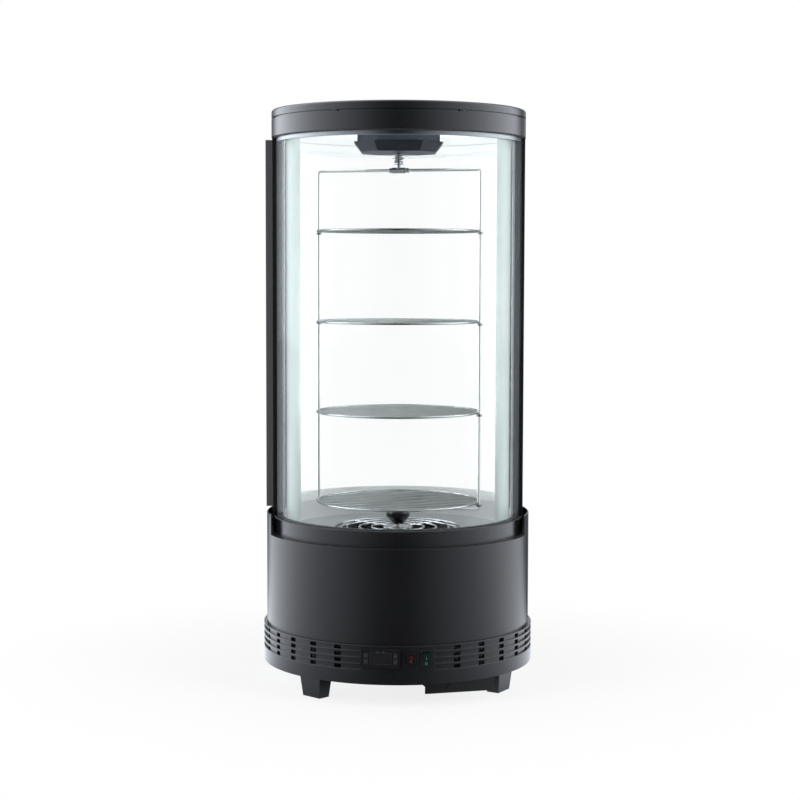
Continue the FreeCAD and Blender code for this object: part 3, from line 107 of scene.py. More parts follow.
class CabinetFinish(bpy.types.PropertyGroup):
    """Colours and gloss of the cabinet's surfaces."""

    plastic: FloatVectorProperty(
        name="Moulded plastic", description="Skirt, rails, pillars and lid", subtype="COLOR",
        default=(0.0062, 0.0064, 0.0074))
    handle: FloatVectorProperty(
        name="Door handle", description="Ribbed strip of the door handle", subtype="COLOR",
        default=(0.075, 0.077, 0.083))
    panel: FloatVectorProperty(
        name="Base panel", description="Powder coat of the base panel", subtype="COLOR",
        default=(0.006, 0.0062, 0.0072))
    hood: FloatVectorProperty(
        name="Motor hood", description="Hood under the ceiling", subtype="COLOR",
        default=(0.0055, 0.0075, 0.011))
    white: FloatVectorProperty(
        name="Liner", description="Ceiling liner and tub", subtype="COLOR", default=(0.82, 0.84, 0.84))
    wire: FloatVectorProperty(
        name="Bright wire", description="Plated wire of the coupling, guard and pins", subtype="COLOR",
        default=(0.46, 0.47, 0.46))
    shelf: FloatVectorProperty(
        name="Shelf wire", description="Plated wire of the shelves", subtype="COLOR",
        default=(0.37, 0.385, 0.36))
    hanger: FloatVectorProperty(
        name="Hanger wire", description="Plated wire of the rack's frame", subtype="COLOR",
        default=(0.8, 0.815, 0.77))
    steel: FloatVectorProperty(
        name="Floor steel", description="Polished chamber floor", subtype="COLOR",
        default=(0.62, 0.64, 0.64))
    red: FloatVectorProperty(
        name="Light rocker", description="Lens of the light switch", subtype="COLOR",
        default=(0.026, 0.003, 0.006))
    green: FloatVectorProperty(
        name="Power rocker", description="Lens of the power switch", subtype="COLOR",
        default=(0.0, 0.009, 0.006))
    plastic_roughness: FloatProperty(
        name="Plastic roughness", description="Roughness of the moulded plastic", subtype="FACTOR",
        default=0.27, min=0, max=1)
    edge_round: FloatProperty(
        name="Edge rounding", description="Radius to which edges catch the light", unit="LENGTH",
        default=0.8 * MILLIMETRE, min=0)


class CabinetFittings(bpy.types.PropertyGroup):
    """Sizes of the small fittings."""

    spacer_height: FloatProperty(
        name="Spacer height", description="Spacer between the panes, under the upper rails",
        unit="LENGTH", default=8 * MILLIMETRE)
    sill_spacer: FloatProperty(
        name="Sill spacer", description="Spacer between the panes, above the lower rails", unit="LENGTH",
        default=2.5 * MILLIMETRE)
    spacer_edge: FloatProperty(
        name="Spacer edge", description="Spacer between the panes, along their upright edges",
        unit="LENGTH", default=6 * MILLIMETRE)
    bead: FloatProperty(
        name="Seal bead", description="Bead of seal between the outer pane and its rails", unit="LENGTH",
        default=1.4 * MILLIMETRE)
    latch_bearing: FloatProperty(
        name="Latch bearing", description="Lid latches from the front", subtype="ANGLE",
        default=math.radians(29))
    latch_width: FloatProperty(
        name="Latch width", description="Lid latch across", unit="LENGTH", default=15 * MILLIMETRE)
    wrap_wire: FloatProperty(
        name="Wrap wire", description="Radius of the wire wrapped on the hanger", unit="LENGTH",
        default=0.8 * MILLIMETRE)
    pin_reach: FloatProperty(
        name="Pin reach", description="Half the length of the coupling's cross pins", unit="LENGTH",
        default=11 * MILLIMETRE)
    pin_radius: FloatProperty(
        name="Pin radius", description="Radius of the coupling's cross pins", unit="LENGTH",
        default=0.7 * MILLIMETRE)
    print_depth: FloatProperty(
        name="Print depth", description="Thickness of printed marks", unit="LENGTH",
        default=0.15 * MILLIMETRE)
    screw_radius: FloatProperty(
        name="Screw radius", description="Head of the rear screws", unit="LENGTH",
        default=3.5 * MILLIMETRE)
    grip_radius: FloatProperty(
        name="Grip radius", description="Finger grip on the front of the drip tray", unit="LENGTH",
        default=19 * MILLIMETRE)


class CabinetStudio(bpy.types.PropertyGroup):
    """Camera and light of the studio."""

    distance: FloatProperty(
        name="Camera distance", description="Camera to the cabinet's axis", unit="LENGTH", default=3.098)
    height: FloatProperty(
        name="Camera height", description="Camera above the counter", unit="LENGTH", default=0.7197)
    aside: FloatProperty(
        name="Camera aside", description="Camera to the right of the axis", unit="LENGTH",
        default=0.0028)
    pitch: FloatProperty(
        name="Camera pitch", description="How far the camera looks down", subtype="ANGLE",
        default=math.radians(4.21))
    roll: FloatProperty(
        name="Camera roll", description="How far the camera leans to its left", subtype="ANGLE",
        default=math.radians(0.14))
    lens: FloatProperty(name="Lens", description="Focal length", subtype="DISTANCE_CAMERA", default=79.6)
    ambient: FloatProperty(
        name="Ambient", description="Light from all round", subtype="FACTOR", default=0.5, min=0)
    softbox_power: FloatProperty(
        name="Softbox power", description="Power of each side softbox", unit="POWER", default=30)
    chamber_power: FloatProperty(
        name="Chamber light", description="Power of the soft light in the chamber", unit="POWER",
        default=2.2)
    softbox_level: FloatProperty(
        name="Softbox level", description="Level of the softboxes as reflections show them", default=4.5)


# Shader maths


def rgba(colour, factor=1.0):
    return (colour[0] * factor, colour[1] * factor, colour[2] * factor, 1.0)


def by_socket(values):
    """Values by the names that the sockets have."""
    return {name.replace("_", " ").title().replace("Ior", "IOR"): value for name, value in values.items()}


class Field:
    """Value of a shader socket, for use in sums."""

    def __init__(self, graph, socket):
        self.graph = graph
        self.socket = socket

    def combine(self, operation, first, second=None):
        sockets = {0: first} if second is None else {0: first, 1: second}
        return self.graph.field("ShaderNodeMath", {"operation": operation}, sockets)

    def __add__(self, other):
        return self.combine("ADD", self, other)

    def __radd__(self, other):
        return self.combine("ADD", other, self)

    def __sub__(self, other):
        return self.combine("SUBTRACT", self, other)

    def __rsub__(self, other):
        return self.combine("SUBTRACT", other, self)

    def __mul__(self, other):
        return self.combine("MULTIPLY", self, other)

    def __rmul__(self, other):
        return self.combine("MULTIPLY", other, self)

    def __truediv__(self, other):
        return self.combine("DIVIDE", self, other)

    def __pow__(self, other):
        return self.combine("POWER", self, other)

    def __abs__(self):
        return self.combine("ABSOLUTE", self)

    def at_least(self, other):
        return self.combine("MAXIMUM", self, other)

    def above(self, other):
        return self.combine("GREATER_THAN", self, other)


class Graph:
    """Node tree of a material or of the world."""

    def __init__(self, owner):
        owner.use_nodes = True
        self.owner = owner
        self.tree = owner.node_tree
        self.tree.nodes.clear()

    def node(self, kind, settings=None, sockets=None):
        """Adds a node: its settings first, then the values or links of its sockets."""
        made = self.tree.nodes.new(kind)
        for name, value in (settings or {}).items():
            if name == "stops":
                self.set_stops(made.color_ramp, value)
            else:
                setattr(made, name, value)
        for name, value in (sockets or {}).items():
            if isinstance(value, Field):
                self.tree.links.new(value.socket, made.inputs[name])
            else:
                made.inputs[name].default_value = value
        return made

    def field(self, kind, settings=None, sockets=None, output=0):
        made = self.node(kind, settings, sockets)
        return Field(self, made.outputs[output])

    def set_stops(self, ramp, stops):
        while len(ramp.elements) < len(stops):
            ramp.elements.new(1.0)
        for element, (place, level) in zip(ramp.elements, stops):
            element.position = place
            element.color = (level, level, level, 1.0)

    def split(self, vector):
        """X, Y and Z of a vector."""
        made = self.node("ShaderNodeSeparateXYZ", None, {"Vector": vector})
        return [Field(self, made.outputs[axis]) for axis in "XYZ"]

    def object_coordinates(self):
        return self.field("ShaderNodeTexCoord", output="Object")

    def radius(self):
        """Distance from the cabinet's axis."""
        flat = self.field("ShaderNodeVectorMath", {"operation": "MULTIPLY"}, {
            0: self.object_coordinates(), 1: (1.0, 1.0, 0.0)})
        return self.field("ShaderNodeVectorMath", {"operation": "LENGTH"}, {0: flat}, "Value")

    def height(self):
        """Height above the counter."""
        return self.split(self.object_coordinates())[2]

    def noise(self, scale, detail, stretch=(1.0, 1.0, 1.0)):
        """Noise at a number of grains per metre."""
        placed = self.field("ShaderNodeMapping", None, {
            "Vector": self.object_coordinates(), "Scale": tuple(scale * part for part in stretch)})
        return self.field("ShaderNodeTexNoise", None, {"Vector": placed, "Scale": 1.0, "Detail": detail})

    def ribs(self, direction, scale):
        """Straight even ribs across an axis."""
        return self.field("ShaderNodeTexWave", {"bands_direction": direction}, {
            "Vector": self.object_coordinates(), "Scale": scale, "Distortion": 0.0})

    def mix(self, amount, first, second):
        """Colour between two colours."""
        return self.field("ShaderNodeMix", {"data_type": "RGBA"}, {0: amount, 6: first, 7: second}, 2)

    def shades(self, amount, colour, first, second):
        """Colour between two shades of one colour, each given as a share of it."""
        return self.mix(amount, rgba(colour, first), rgba(colour, second))

    def bump(self, height, strength, distance, normal=None):
        sockets = {"Height": height, "Strength": strength, "Distance": distance}
        if normal is not None:
            sockets["Normal"] = normal
        return self.field("ShaderNodeBump", None, sockets)

    def soft_edges(self, radius):
        return self.field("ShaderNodeBevel", {"samples": 4}, {"Radius": radius})

    def smooth_step(self, value, **limits):
        return self.field("ShaderNodeMapRange", {"interpolation_type": "SMOOTHSTEP"}, {
            "Value": value, **by_socket(limits)})

    def principled(self, **values):
        return self.field("ShaderNodeBsdfPrincipled", None, by_socket(values))

    def glow(self, colour, strength):
        return self.field("ShaderNodeEmission", None, {"Color": colour, "Strength": strength})

    def mix_shaders(self, share, first, second):
        return self.field("ShaderNodeMixShader", None, {0: share, 1: first, 2: second})

    def finish(self, shader):
        """Links a shader to the output and gives back the material or world."""
        world = isinstance(self.owner, bpy.types.World)
        kind = "ShaderNodeOutputWorld" if world else "ShaderNodeOutputMaterial"
        self.node(kind, None, {"Surface": shader})
        return self.owner


def material_graph(name):
    return Graph(bpy.data.materials.new(name))


# Materials: noise is given in grains per metre and detail, bump in strength and depth

CLEAR_TINT = (0.997, 0.999, 0.999, 1.0)
GLASS_MIRROR = (0.92, 0.95, 0.96, 1.0)
GLASS_FILM = 0.002
LEAST_MIRROR = 0.002
GLANCING_MIRROR = 0.15
GLANCING_POWER = 5.0
FROST = (0.47, 0.54, 0.53, 1.0)
TUBE_GLOW = (0.94, 1.0, 0.99, 1.0)
# How many times paler the hood's neck is painted: a painted highlight on its lip
NECK_HIGHLIGHT = 4.0
SKIRT_ROUND = 2.2
DOOR_PARTING = radii("door_bottom_rail")[1] - 1.5 * MILLIMETRE
# Beyond this radius the tub's flange is painted black: painted shade in the seam between the front rail
# and the base panel
TUB_SEAM_SHADE_FROM = 199.5 * MILLIMETRE
PILLAR_PARTING = 202.5 * MILLIMETRE
HOOD_NECK = 940 * MILLIMETRE


def moulded_plastic(name, colour, roughness, edge):
    """Satin black moulding: fine spark-eroded grain, faint handling marks, soft edges."""
    graph = material_graph(name)
    grain = graph.noise(1400.0, 3.0)
    marks = graph.noise(14.0, 4.0)
    return graph.finish(graph.principled(
        base_color=graph.shades(marks, colour, 0.85, 1.2),
        roughness=roughness - 0.05 + marks * 0.1,
        normal=graph.bump(grain, 0.12, 0.15 * MILLIMETRE, graph.soft_edges(edge))))


def powder_coat(name, colour, roughness, edge):
    """Powder-coated sheet with orange peel."""
    graph = material_graph(name)
    peel = graph.noise(420.0, 2.0)
    marks = graph.noise(9.0, 4.0)
    return graph.finish(graph.principled(
        base_color=graph.shades(marks, colour, 0.9, 1.15),
        roughness=roughness - 0.04 + marks * 0.08,
        normal=graph.bump(peel, 0.08, 0.2 * MILLIMETRE, graph.soft_edges(edge))))


def plated_wire(name, colour, roughness):
    """Bright plating with slight ripples and dull spots."""
    graph = material_graph(name)
    ripple = graph.noise(160.0, 2.0)
    spots = graph.noise(60.0, 3.0)
    return graph.finish(graph.principled(
        base_color=graph.shades(spots, colour, 0.86, 1.08), metallic=1.0,
        roughness=roughness + spots * 0.12,
        normal=graph.bump(ripple, 0.1, 0.1 * MILLIMETRE)))


def ribbed_plastic(name, colour, roughness, edge):
    """Satin black moulding with fine ribs for the fingers; its colour is painted lighter and darker along
    the ribs as painted highlight and shade.
    """
    graph = material_graph(name)
    ribs = graph.ribs("Y", 120.0)
    grain = graph.noise(1400.0, 3.0)
    # The ribs raise the bump and also paint the colour lighter and darker: painted highlight and shade
    return graph.finish(graph.principled(
        base_color=graph.shades(ribs, colour, 0.8, 1.2),
        roughness=roughness + grain * 0.06,
        normal=graph.bump(ribs + grain * 0.2, 0.35, 0.5 * MILLIMETRE, graph.soft_edges(edge))))


def parted_by_radius(name, inside, outside, limit, roughness):
    """Liner colour towards the chamber and black on the outside, parted at a radius."""
    graph = material_graph(name)
    beyond = graph.radius().above(limit)
    grain = graph.noise(900.0, 3.0)
    return graph.finish(graph.principled(
        base_color=graph.mix(beyond, rgba(inside), rgba(outside)),
        roughness=roughness + grain * 0.08,
        normal=graph.bump(grain, 0.08, 0.1 * MILLIMETRE)))


def hood_paint(name, colour, limit, roughness, edge):
    """Satin blue-black moulding whose neck, above a height, is painted paler: a painted highlight on its
    lip.
    """
    graph = material_graph(name)
    # Above the neck's height the colour is painted paler as a painted highlight
    above = graph.height().above(limit)
    grain = graph.noise(1400.0, 3.0)
    return graph.finish(graph.principled(
        base_color=graph.shades(above, colour, 1.0, NECK_HIGHLIGHT),
        roughness=roughness + grain * 0.06,
        specular_ior_level=0.3,
        normal=graph.bump(grain, 0.12, 0.15 * MILLIMETRE, graph.soft_edges(edge))))


def brushed_sheet(name, colour, roughness):
    """Metal sheet brushed along X."""
    graph = material_graph(name)
    lines = graph.noise(1.0, 3.0, (30.0, 1800.0, 1800.0))
    clouds = graph.noise(11.0, 3.0)
    return graph.finish(graph.principled(
        base_color=graph.shades(lines, colour, 0.88, 1.1), metallic=1.0,
        roughness=roughness + lines * 0.12 + clouds * 0.06,
        normal=graph.bump(lines, 0.1, 0.05 * MILLIMETRE)))


def polished_sheet(name, colour):
    """Bright steel sheet with a faint wave and fine wiping marks."""
    graph = material_graph(name)
    wave = graph.noise(16.0, 2.0)
    wiping = graph.noise(1.0, 3.0, (60.0, 900.0, 900.0))
    return graph.finish(graph.principled(
        base_color=graph.shades(wiping, colour, 0.94, 1.05), metallic=0.65,
        roughness=0.05 + wiping * 0.05,
        normal=graph.bump(wave, 0.1, 1.5 * MILLIMETRE)))


def matt_plastic(name, colour, roughness):
    """Plain matt plastic or rubber with a fine texture."""
    graph = material_graph(name)
    grain = graph.noise(700.0, 3.0)
    clouds = graph.noise(25.0, 3.0)
    return graph.finish(graph.principled(
        base_color=graph.shades(clouds, colour, 0.93, 1.05),
        roughness=roughness + grain * 0.08,
        normal=graph.bump(grain, 0.08, 0.1 * MILLIMETRE)))


def clear_glass(name):
    """Clear sheet: most light goes straight through, and more is reflected at a glancing angle."""
    graph = material_graph(name)
    turned = graph.field("ShaderNodeLayerWeight", None, {"Blend": 0.5}, "Facing")
    film = graph.noise(18.0, 3.0)
    share = LEAST_MIRROR + turned ** GLANCING_POWER * GLANCING_MIRROR + film * GLASS_FILM
    through = graph.field("ShaderNodeBsdfTransparent", None, {"Color": CLEAR_TINT})
    mirror = graph.principled(base_color=GLASS_MIRROR, metallic=1.0, roughness=0.02)
    return graph.finish(graph.mix_shaders(share, through, mirror))


def lens(name, colour, glow):
    """Tinted switch lens with moulded ribs and a faint glow."""
    graph = material_graph(name)
    tone = graph.shades(graph.ribs("X", 320.0), colour, 0.75, 1.25)
    return graph.finish(graph.principled(
        base_color=tone, roughness=0.3, emission_color=tone, emission_strength=glow, coat_weight=0.3))


def frosted_light(name):
    """Frosted tube of the chamber's lights."""
    graph = material_graph(name)
    frost = graph.noise(900.0, 2.0)
    return graph.finish(graph.principled(
        base_color=FROST, roughness=0.45 + frost * 0.2,
        emission_color=TUBE_GLOW, emission_strength=0.02,
        normal=graph.bump(frost, 0.1, 0.1 * MILLIMETRE)))


def make_finishes(finish):
    """All materials by name."""
    edge = finish.edge_round
    gloss = finish.plastic_roughness
    return {
        "plastic": moulded_plastic("Satin black moulding", finish.plastic, gloss, edge),
        "skirt": moulded_plastic("Black skirt", finish.plastic, gloss, SKIRT_ROUND * edge),
        "ribbed": ribbed_plastic("Ribbed black moulding", finish.handle, gloss, edge),
        "panel": powder_coat("Black powder coat", finish.panel, 0.26, edge),
        "hood": hood_paint("Blue-black hood", finish.hood, HOOD_NECK, 0.34, edge),
        "wire": plated_wire("Plated wire", finish.wire, 0.14),
        "shelf": plated_wire("Shelf wire", finish.shelf, 0.16),
        "hanger": plated_wire("Hanger wire", finish.hanger, 0.34),
        "steel": polished_sheet("Polished floor", finish.steel),
        "zinc": brushed_sheet("Zinc sheet", (0.5, 0.51, 0.52), 0.35),
        "white": matt_plastic("White liner", finish.white, 0.55),
        "pillar": parted_by_radius("Pillar", (0.86, 0.89, 0.895), finish.plastic, PILLAR_PARTING, 0.3),
        "door_frame": parted_by_radius("Door frame", finish.white, finish.plastic, DOOR_PARTING, 0.4),
        "sill": parted_by_radius("Rear sill", finish.steel, finish.plastic, DOOR_PARTING, 0.3),
        # The tub's black outside is painted shade in the seam above the base panel
        "tub": parted_by_radius("Insulated tub", finish.white, finish.plastic, TUB_SEAM_SHADE_FROM, 0.4),
        "rubber": matt_plastic("Black rubber", (0.018, 0.018, 0.018), 0.7),
        "gasket": matt_plastic("Pale gasket", (0.78, 0.8, 0.8), 0.6),
        "seal": matt_plastic("Slate seal", (0.06, 0.068, 0.074), 0.6),
        "dark_seal": matt_plastic("Dark seal", (0.02, 0.021, 0.023), 0.6),
        "spacer": brushed_sheet("Aluminium spacer", (0.21, 0.222, 0.226), 0.24),
        "fins": brushed_sheet("Rolled fins", (0.6, 0.61, 0.62), 0.3),
        "copper": plated_wire("Copper tube", (0.55, 0.24, 0.13), 0.14),
        "glass": clear_glass("Outer glass"),
        "inner_glass": clear_glass("Inner glass"),
        "light": frosted_light("Light tube"),
        "window": lens("Tinted window", (0.006, 0.005, 0.006), 0.0),
        "red": lens("Red lens", finish.red, 0.1),
        "green": lens("Green lens", finish.green, 0.15),
        "key": matt_plastic("Grey key", (0.009, 0.009, 0.0105), 0.5),
        "mark": matt_plastic("Pale print", (0.09, 0.1, 0.1), 0.6),
        "key_mark": matt_plastic("Grey print", (0.04, 0.043, 0.044), 0.6),
        "green_mark": matt_plastic("Pale green print", (0.08, 0.19, 0.14), 0.5),
        "red_mark": matt_plastic("Pale red print", (0.14, 0.045, 0.048), 0.5),
        "unlit": matt_plastic("Unlit segment", (0.012, 0.0105, 0.011), 0.5),
    }


FINISHES = {}
DRESS = {
    "plastic": ("top_band", "top_lid", "front_bottom_rail", "door_hinge_stile", "door_handle_stile",
                "feet", "power_inlet", "thermostat_case", "switch_frames", "drip_tray", "condenser_fan",
                "evaporator_fan", "pivot_knob"),
    "skirt": ("vent_skirt",),
    "pillar": ("left_pillar", "right_pillar"),
    "sill": ("rear_sill",),
    "ribbed": ("door_handle",),
    "panel": ("base_panel", "compressor"),
    "hood": ("motor_hood",),
    "shelf": ("shelf_1", "shelf_2", "shelf_3", "shelf_4", "shelf_clips"),
    "hanger": ("rack_frame",),
    "wire": ("drive_shaft", "coupling_spring", "fan_guard", "pivot_pin", "hinge_pins", "foot_screws"),
    "steel": ("chamber_floor",),
    "zinc": ("base_plate", "tray_runners", "drive_motor", "condenser_fan_motor", "evaporator_fan_motor"),
    "white": ("ceiling_liner",),
    "tub": ("insulated_tub",),
    "door_frame": ("door_top_rail", "door_bottom_rail"),
    "rubber": ("compressor_grommets",),
    "gasket": ("door_gasket",),
    "fins": ("condenser_coil", "evaporator_coil"),
    "copper": ("refrigerant_lines",),
    "glass": ("front_glass_outer", "door_glass_outer"),
    "inner_glass": ("front_glass_inner", "door_glass_inner"),
    "light": ("light_tubes",),
    "window": ("thermostat_display",),
    "red": ("light_rocker",),
    "green": ("power_rocker",),
    "key": ("set_button", "defrost_button", "up_button", "down_button"),
}


class CABINET_OT_finishes(bpy.types.Operator):
    """Gives every CAD piece its finish"""

    bl_idname = "cabinet.finishes"
    bl_label = "Finishes"

    def execute(self, context):
        FINISHES.update(make_finishes(context.scene.cabinet_finish))
        for finish, names in DRESS.items():
            for name in names:
                NODES[name].data.materials.clear()
                NODES[name].data.materials.append(FINISHES[finish])
        return {"FINISHED"}


# Shapes of the small fittings: outlines of heads are in shares of their radius and height

DOME = ((0.0, 0.0), (1.0, 0.0), (1.0, 0.3), (0.85, 0.7), (0.5, 0.95), (0.0, 1.0))
DOME_STEPS = 20
SOCKET_HEAD = ((0.0, -1.0), (1.0, -1.0), (1.0, 0.4), (0.9, 0.8), (0.7, 1.0), (0.45, 1.0), (0.38, 0.15),
               (0.0, 0.15))
SOCKET_HEAD_STEPS = 24
PIN_ROUND = (0.7, 0.3)
PIN_STEPS = 12
WIRE_SIDES = 10
COIL_STEPS = 20
MERGE_WITHIN = 0.001 * MILLIMETRE
SHARP_ANGLE = math.radians(35)


def turn_outline(shape, corners, middle=0.0, sweep=math.tau, steps=32):
    """Turns a closed outline of radii and heights about Z, all round or over an arc."""
    start = middle - sweep / 2
    points = [shape.verts.new((radius * math.cos(start), radius * math.sin(start), height))
              for radius, height in corners]
    whole = sweep == math.tau
    if whole:
        outline = points + [shape.edges.new(pair) for pair in zip(points, points[1:] + points[:1])]
    else:
        outline = [shape.faces.new(points)]
    bmesh.ops.spin(shape, geom=outline, cent=(0.0, 0.0, 0.0), axis=UP, angle=sweep, steps=steps,
                   use_merge=whole)


def oblong(inner, outer, low, high):
    """Outline of a band between two radii and two levels."""
    return [(inner, low), (outer, low), (outer, high), (inner, high)]


def coil_wire(shape, radius, wire, turns, pitch):
    """Winds a round wire about Z."""
    profile = Matrix.Translation((radius, 0.0, 0.0)) @ Matrix.Rotation(math.pi / 2, 4, "X")
    made = bmesh.ops.create_circle(shape, cap_ends=True, segments=WIRE_SIDES, radius=wire, matrix=profile)
    end = list(made["verts"][0].link_faces)
    steps = COIL_STEPS * turns
    bmesh.ops.spin(shape, geom=end, cent=(0.0, 0.0, 0.0), axis=UP, angle=math.tau * turns,
                   dvec=UP * (pitch * turns / steps), steps=steps)


def round_pin(shape, reach, wire):
    """Round pin along Z through the origin, with rounded ends."""
    shoulder = reach - wire
    across = wire * PIN_ROUND[0]
    tip = reach - wire * PIN_ROUND[1]
    turn_outline(shape, [(0.0, -reach), (across, -tip), (wire, -shoulder), (wire, shoulder), (across, tip),
                         (0.0, reach)], steps=PIN_STEPS)


def turned_head(shape, outline, radius, height, steps):
    """Head of a screw, rivet or lamp."""
    turn_outline(shape, [(radius * across, height * up) for across, up in outline], steps=steps)


def thicken(shape, faces, thickness):
    """Extrudes flat faces along Z and gives back the raised ones."""
    grown = bmesh.ops.extrude_face_region(shape, geom=faces)["geom"]
    top = [part for part in grown if isinstance(part, bmesh.types.BMVert)]
    bmesh.ops.translate(shape, vec=UP * thickness, verts=top)
    return [part for part in grown if isinstance(part, bmesh.types.BMFace)]


def plate(shape, corners, thickness):
    """Flat plate of an outline in the XY plane."""
    thicken(shape, [shape.faces.new([shape.verts.new((x, y, 0.0)) for x, y in corners])], thickness)


def ring_mark(shape, radius, width, thickness):
    """Flat ring in the XY plane."""
    turn_outline(shape, oblong(radius - width, radius, 0.0, thickness))


def pointed_bar(shape, length, width, thickness, upright):
    """Mark with pointed ends, as one segment of a numeral."""
    tip = length / 2
    shoulder = tip - width / 2
    half = width / 2
    corners = [(-tip, 0.0), (-shoulder, -half), (shoulder, -half), (tip, 0.0), (shoulder, half),
               (-shoulder, half)]
    plate(shape, [(-y, x) for x, y in corners] if upright else corners, thickness)


def placed(shape, place, make, *sizes):
    """Makes a form and moves it to its place."""
    before = set(shape.verts)
    make(shape, *sizes)
    made = [point for point in shape.verts if point not in before]
    bmesh.ops.transform(shape, matrix=place, verts=made)


def round_edges(shape, edges, radius):
    bmesh.ops.bevel(shape, geom=edges, offset=radius, segments=2, profile=0.5, affect="EDGES", material=-1)


def offset(x, y, z=0.0):
    return Matrix.Translation((x, y, z))


def add_piece(name, shape, finish, body):
    """Ends a piece: faces outwards, round faces smooth, dressed and riding on its body."""
    bmesh.ops.remove_doubles(shape, verts=shape.verts, dist=MERGE_WITHIN)
    bmesh.ops.recalc_face_normals(shape, faces=shape.faces)
    mesh = bpy.data.meshes.new(name)
    shape.to_mesh(mesh)
    shape.free()
    for face in mesh.polygons:
        face.use_smooth = True
    mesh.set_sharp_from_angle(angle=SHARP_ANGLE)
    mesh.materials.append(FINISHES[finish])
    piece = bpy.data.objects.new(name, mesh)
    bpy.context.scene.collection.objects.link(piece)
    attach(piece, body)


# Glazing, latches and coupling

ARC_STEPS = 96
EDGE_STEPS = 4
BEAD_HOLLOW = 0.4
LATCH_DEPTH = 6 * MILLIMETRE
LATCH_HEIGHT = 3 * MILLIMETRE
LATCH_FACE = 0.2 * MILLIMETRE
LATCH_EDGE = 0.5 * MILLIMETRE
LATCH_CHAMFER = 0.8 * MILLIMETRE
LATCH_STEPS = 6
RIVET_RADIUS = 1.1 * MILLIMETRE
RIVET_HEIGHT = 0.2 * MILLIMETRE
RACK_TURN = math.radians(15)
HANGER_WIRE = 2.5 * MILLIMETRE
HALF_SLEEVE = 11 * MILLIMETRE
WRAP_TURNS = 4
WRAP_PITCH = 2.1
# Cross pins: height above the hanger, turn in radians and share of the full reach
CROSS_PINS = ((20.5 * MILLIMETRE, -0.35, 1.0), (14.5 * MILLIMETRE, 0.5, 0.85))


class CABINET_OT_glazing(bpy.types.Operator):
    """Puts spacers between the panes and beads of seal along the outer ones"""

    bl_idname = "cabinet.glazing"
    bl_label = "Glazing spacers and seals"

    def execute(self, context):
        fittings = context.scene.cabinet_fittings
        self.glaze("front", FRONT, "cabinet", ("dark_seal", "spacer"), fittings)
        self.glaze("door", BACK, "door", ("white", "white"), fittings)
        return {"FINISHED"}

    def glaze(self, side, middle, body, finishes, fittings):
        """Spacers and beads of one pair of panes."""
        outer = side + "_glass_outer"
        inside = radii(side + "_glass_inner")[1]
        outside = radii(outer)[0]
        low, high = heights(outer)
        half = half_sweep(outer, middle)
        foot = low + fittings.sill_spacer
        head = high - fittings.spacer_height
        levels = (("lower", low, foot, finishes[0]), ("upper", head, high, finishes[1]))
        for part, bottom, top, finish in levels:
            level = bmesh.new()
            turn_outline(level, oblong(inside, outside, bottom, top), middle, 2 * half, ARC_STEPS)
            add_piece(f"{side}_{part}_spacer", level, finish, body)
        upright = bmesh.new()
        edge = fittings.spacer_edge / outside
        for end in (-1, 1):
            bearing = middle + end * (half - edge / 2)
            turn_outline(upright, oblong(inside, outside, foot, head), bearing, edge, EDGE_STEPS)
        add_piece(side + "_edge_spacers", upright, "seal", body)
        beads = bmesh.new()
        radius = radii(outer)[1]
        bead = fittings.bead
        for level, rise in ((low, bead), (high, -bead)):
            turn_outline(beads, [(radius, level), (radius + bead, level),
                                 (radius + bead * BEAD_HOLLOW, level + rise * BEAD_HOLLOW),
                                 (radius, level + rise)], middle, 2 * half, ARC_STEPS)
        add_piece(side + "_seal_beads", beads, "rubber", body)


class CABINET_OT_lid_latches(bpy.types.Operator):
    """Puts two latches in the shadow line under the lid"""

    bl_idname = "cabinet.lid_latches"
    bl_label = "Lid latches"

    def execute(self, context):
        fittings = context.scene.cabinet_fittings
        radius = radii("top_band")[1]
        seam = heights("top_band")[1]
        top = seam + LATCH_HEIGHT
        face = radius - LATCH_FACE
        edge = radius - LATCH_EDGE
        back = radius - LATCH_DEPTH
        outline = [(back, seam), (edge, seam), (face, seam + LATCH_CHAMFER), (face, top - LATCH_CHAMFER),
                   (edge, top), (back, top)]
        bars = bmesh.new()
        rivets = bmesh.new()
        for side in (-1, 1):
            bearing = FRONT + side * fittings.latch_bearing
            turn_outline(bars, outline, bearing, fittings.latch_width / radius, LATCH_STEPS)
            placed(rivets, facing(bearing, face, seam + LATCH_HEIGHT / 2), turned_head, DOME, RIVET_RADIUS,
                   RIVET_HEIGHT, DOME_STEPS)
        add_piece("lid_latches", bars, "rubber", "cabinet")
        add_piece("lid_latch_rivets", rivets, "seal", "cabinet")
        return {"FINISHED"}


class CABINET_OT_coupling(bpy.types.Operator):
    """Wraps wire on the hanger beside the sleeve and puts cross pins through the drive shaft"""

    bl_idname = "cabinet.coupling"
    bl_label = "Coupling wire and pins"

    def execute(self, context):
        fittings = context.scene.cabinet_fittings
        wire = fittings.wrap_wire
        hanger_top = heights("rack_frame")[1] - HANGER_WIRE
        sideways = Matrix.Rotation(math.pi / 2, 4, "Y")
        along = Matrix.Rotation(-RACK_TURN, 4, "Z") @ sideways
        pitch = WRAP_PITCH * wire
        wraps = bmesh.new()
        for start in (-HALF_SLEEVE - WRAP_TURNS * pitch, HALF_SLEEVE):
            place = offset(0.0, 0.0, hanger_top) @ along @ offset(0.0, 0.0, start + wire)
            placed(wraps, place, coil_wire, HANGER_WIRE + wire, wire, WRAP_TURNS, pitch)
        add_piece("hanger_wraps", wraps, "wire", "rack")
        pins = bmesh.new()
        for rise, turn, share in CROSS_PINS:
            place = offset(0.0, 0.0, hanger_top + rise) @ Matrix.Rotation(turn, 4, "Z") @ sideways
            placed(pins, place, round_pin, fittings.pin_reach * share, fittings.pin_radius)
        add_piece("coupling_pins", pins, "wire", "rack")
        return {"FINISHED"}


# Controls

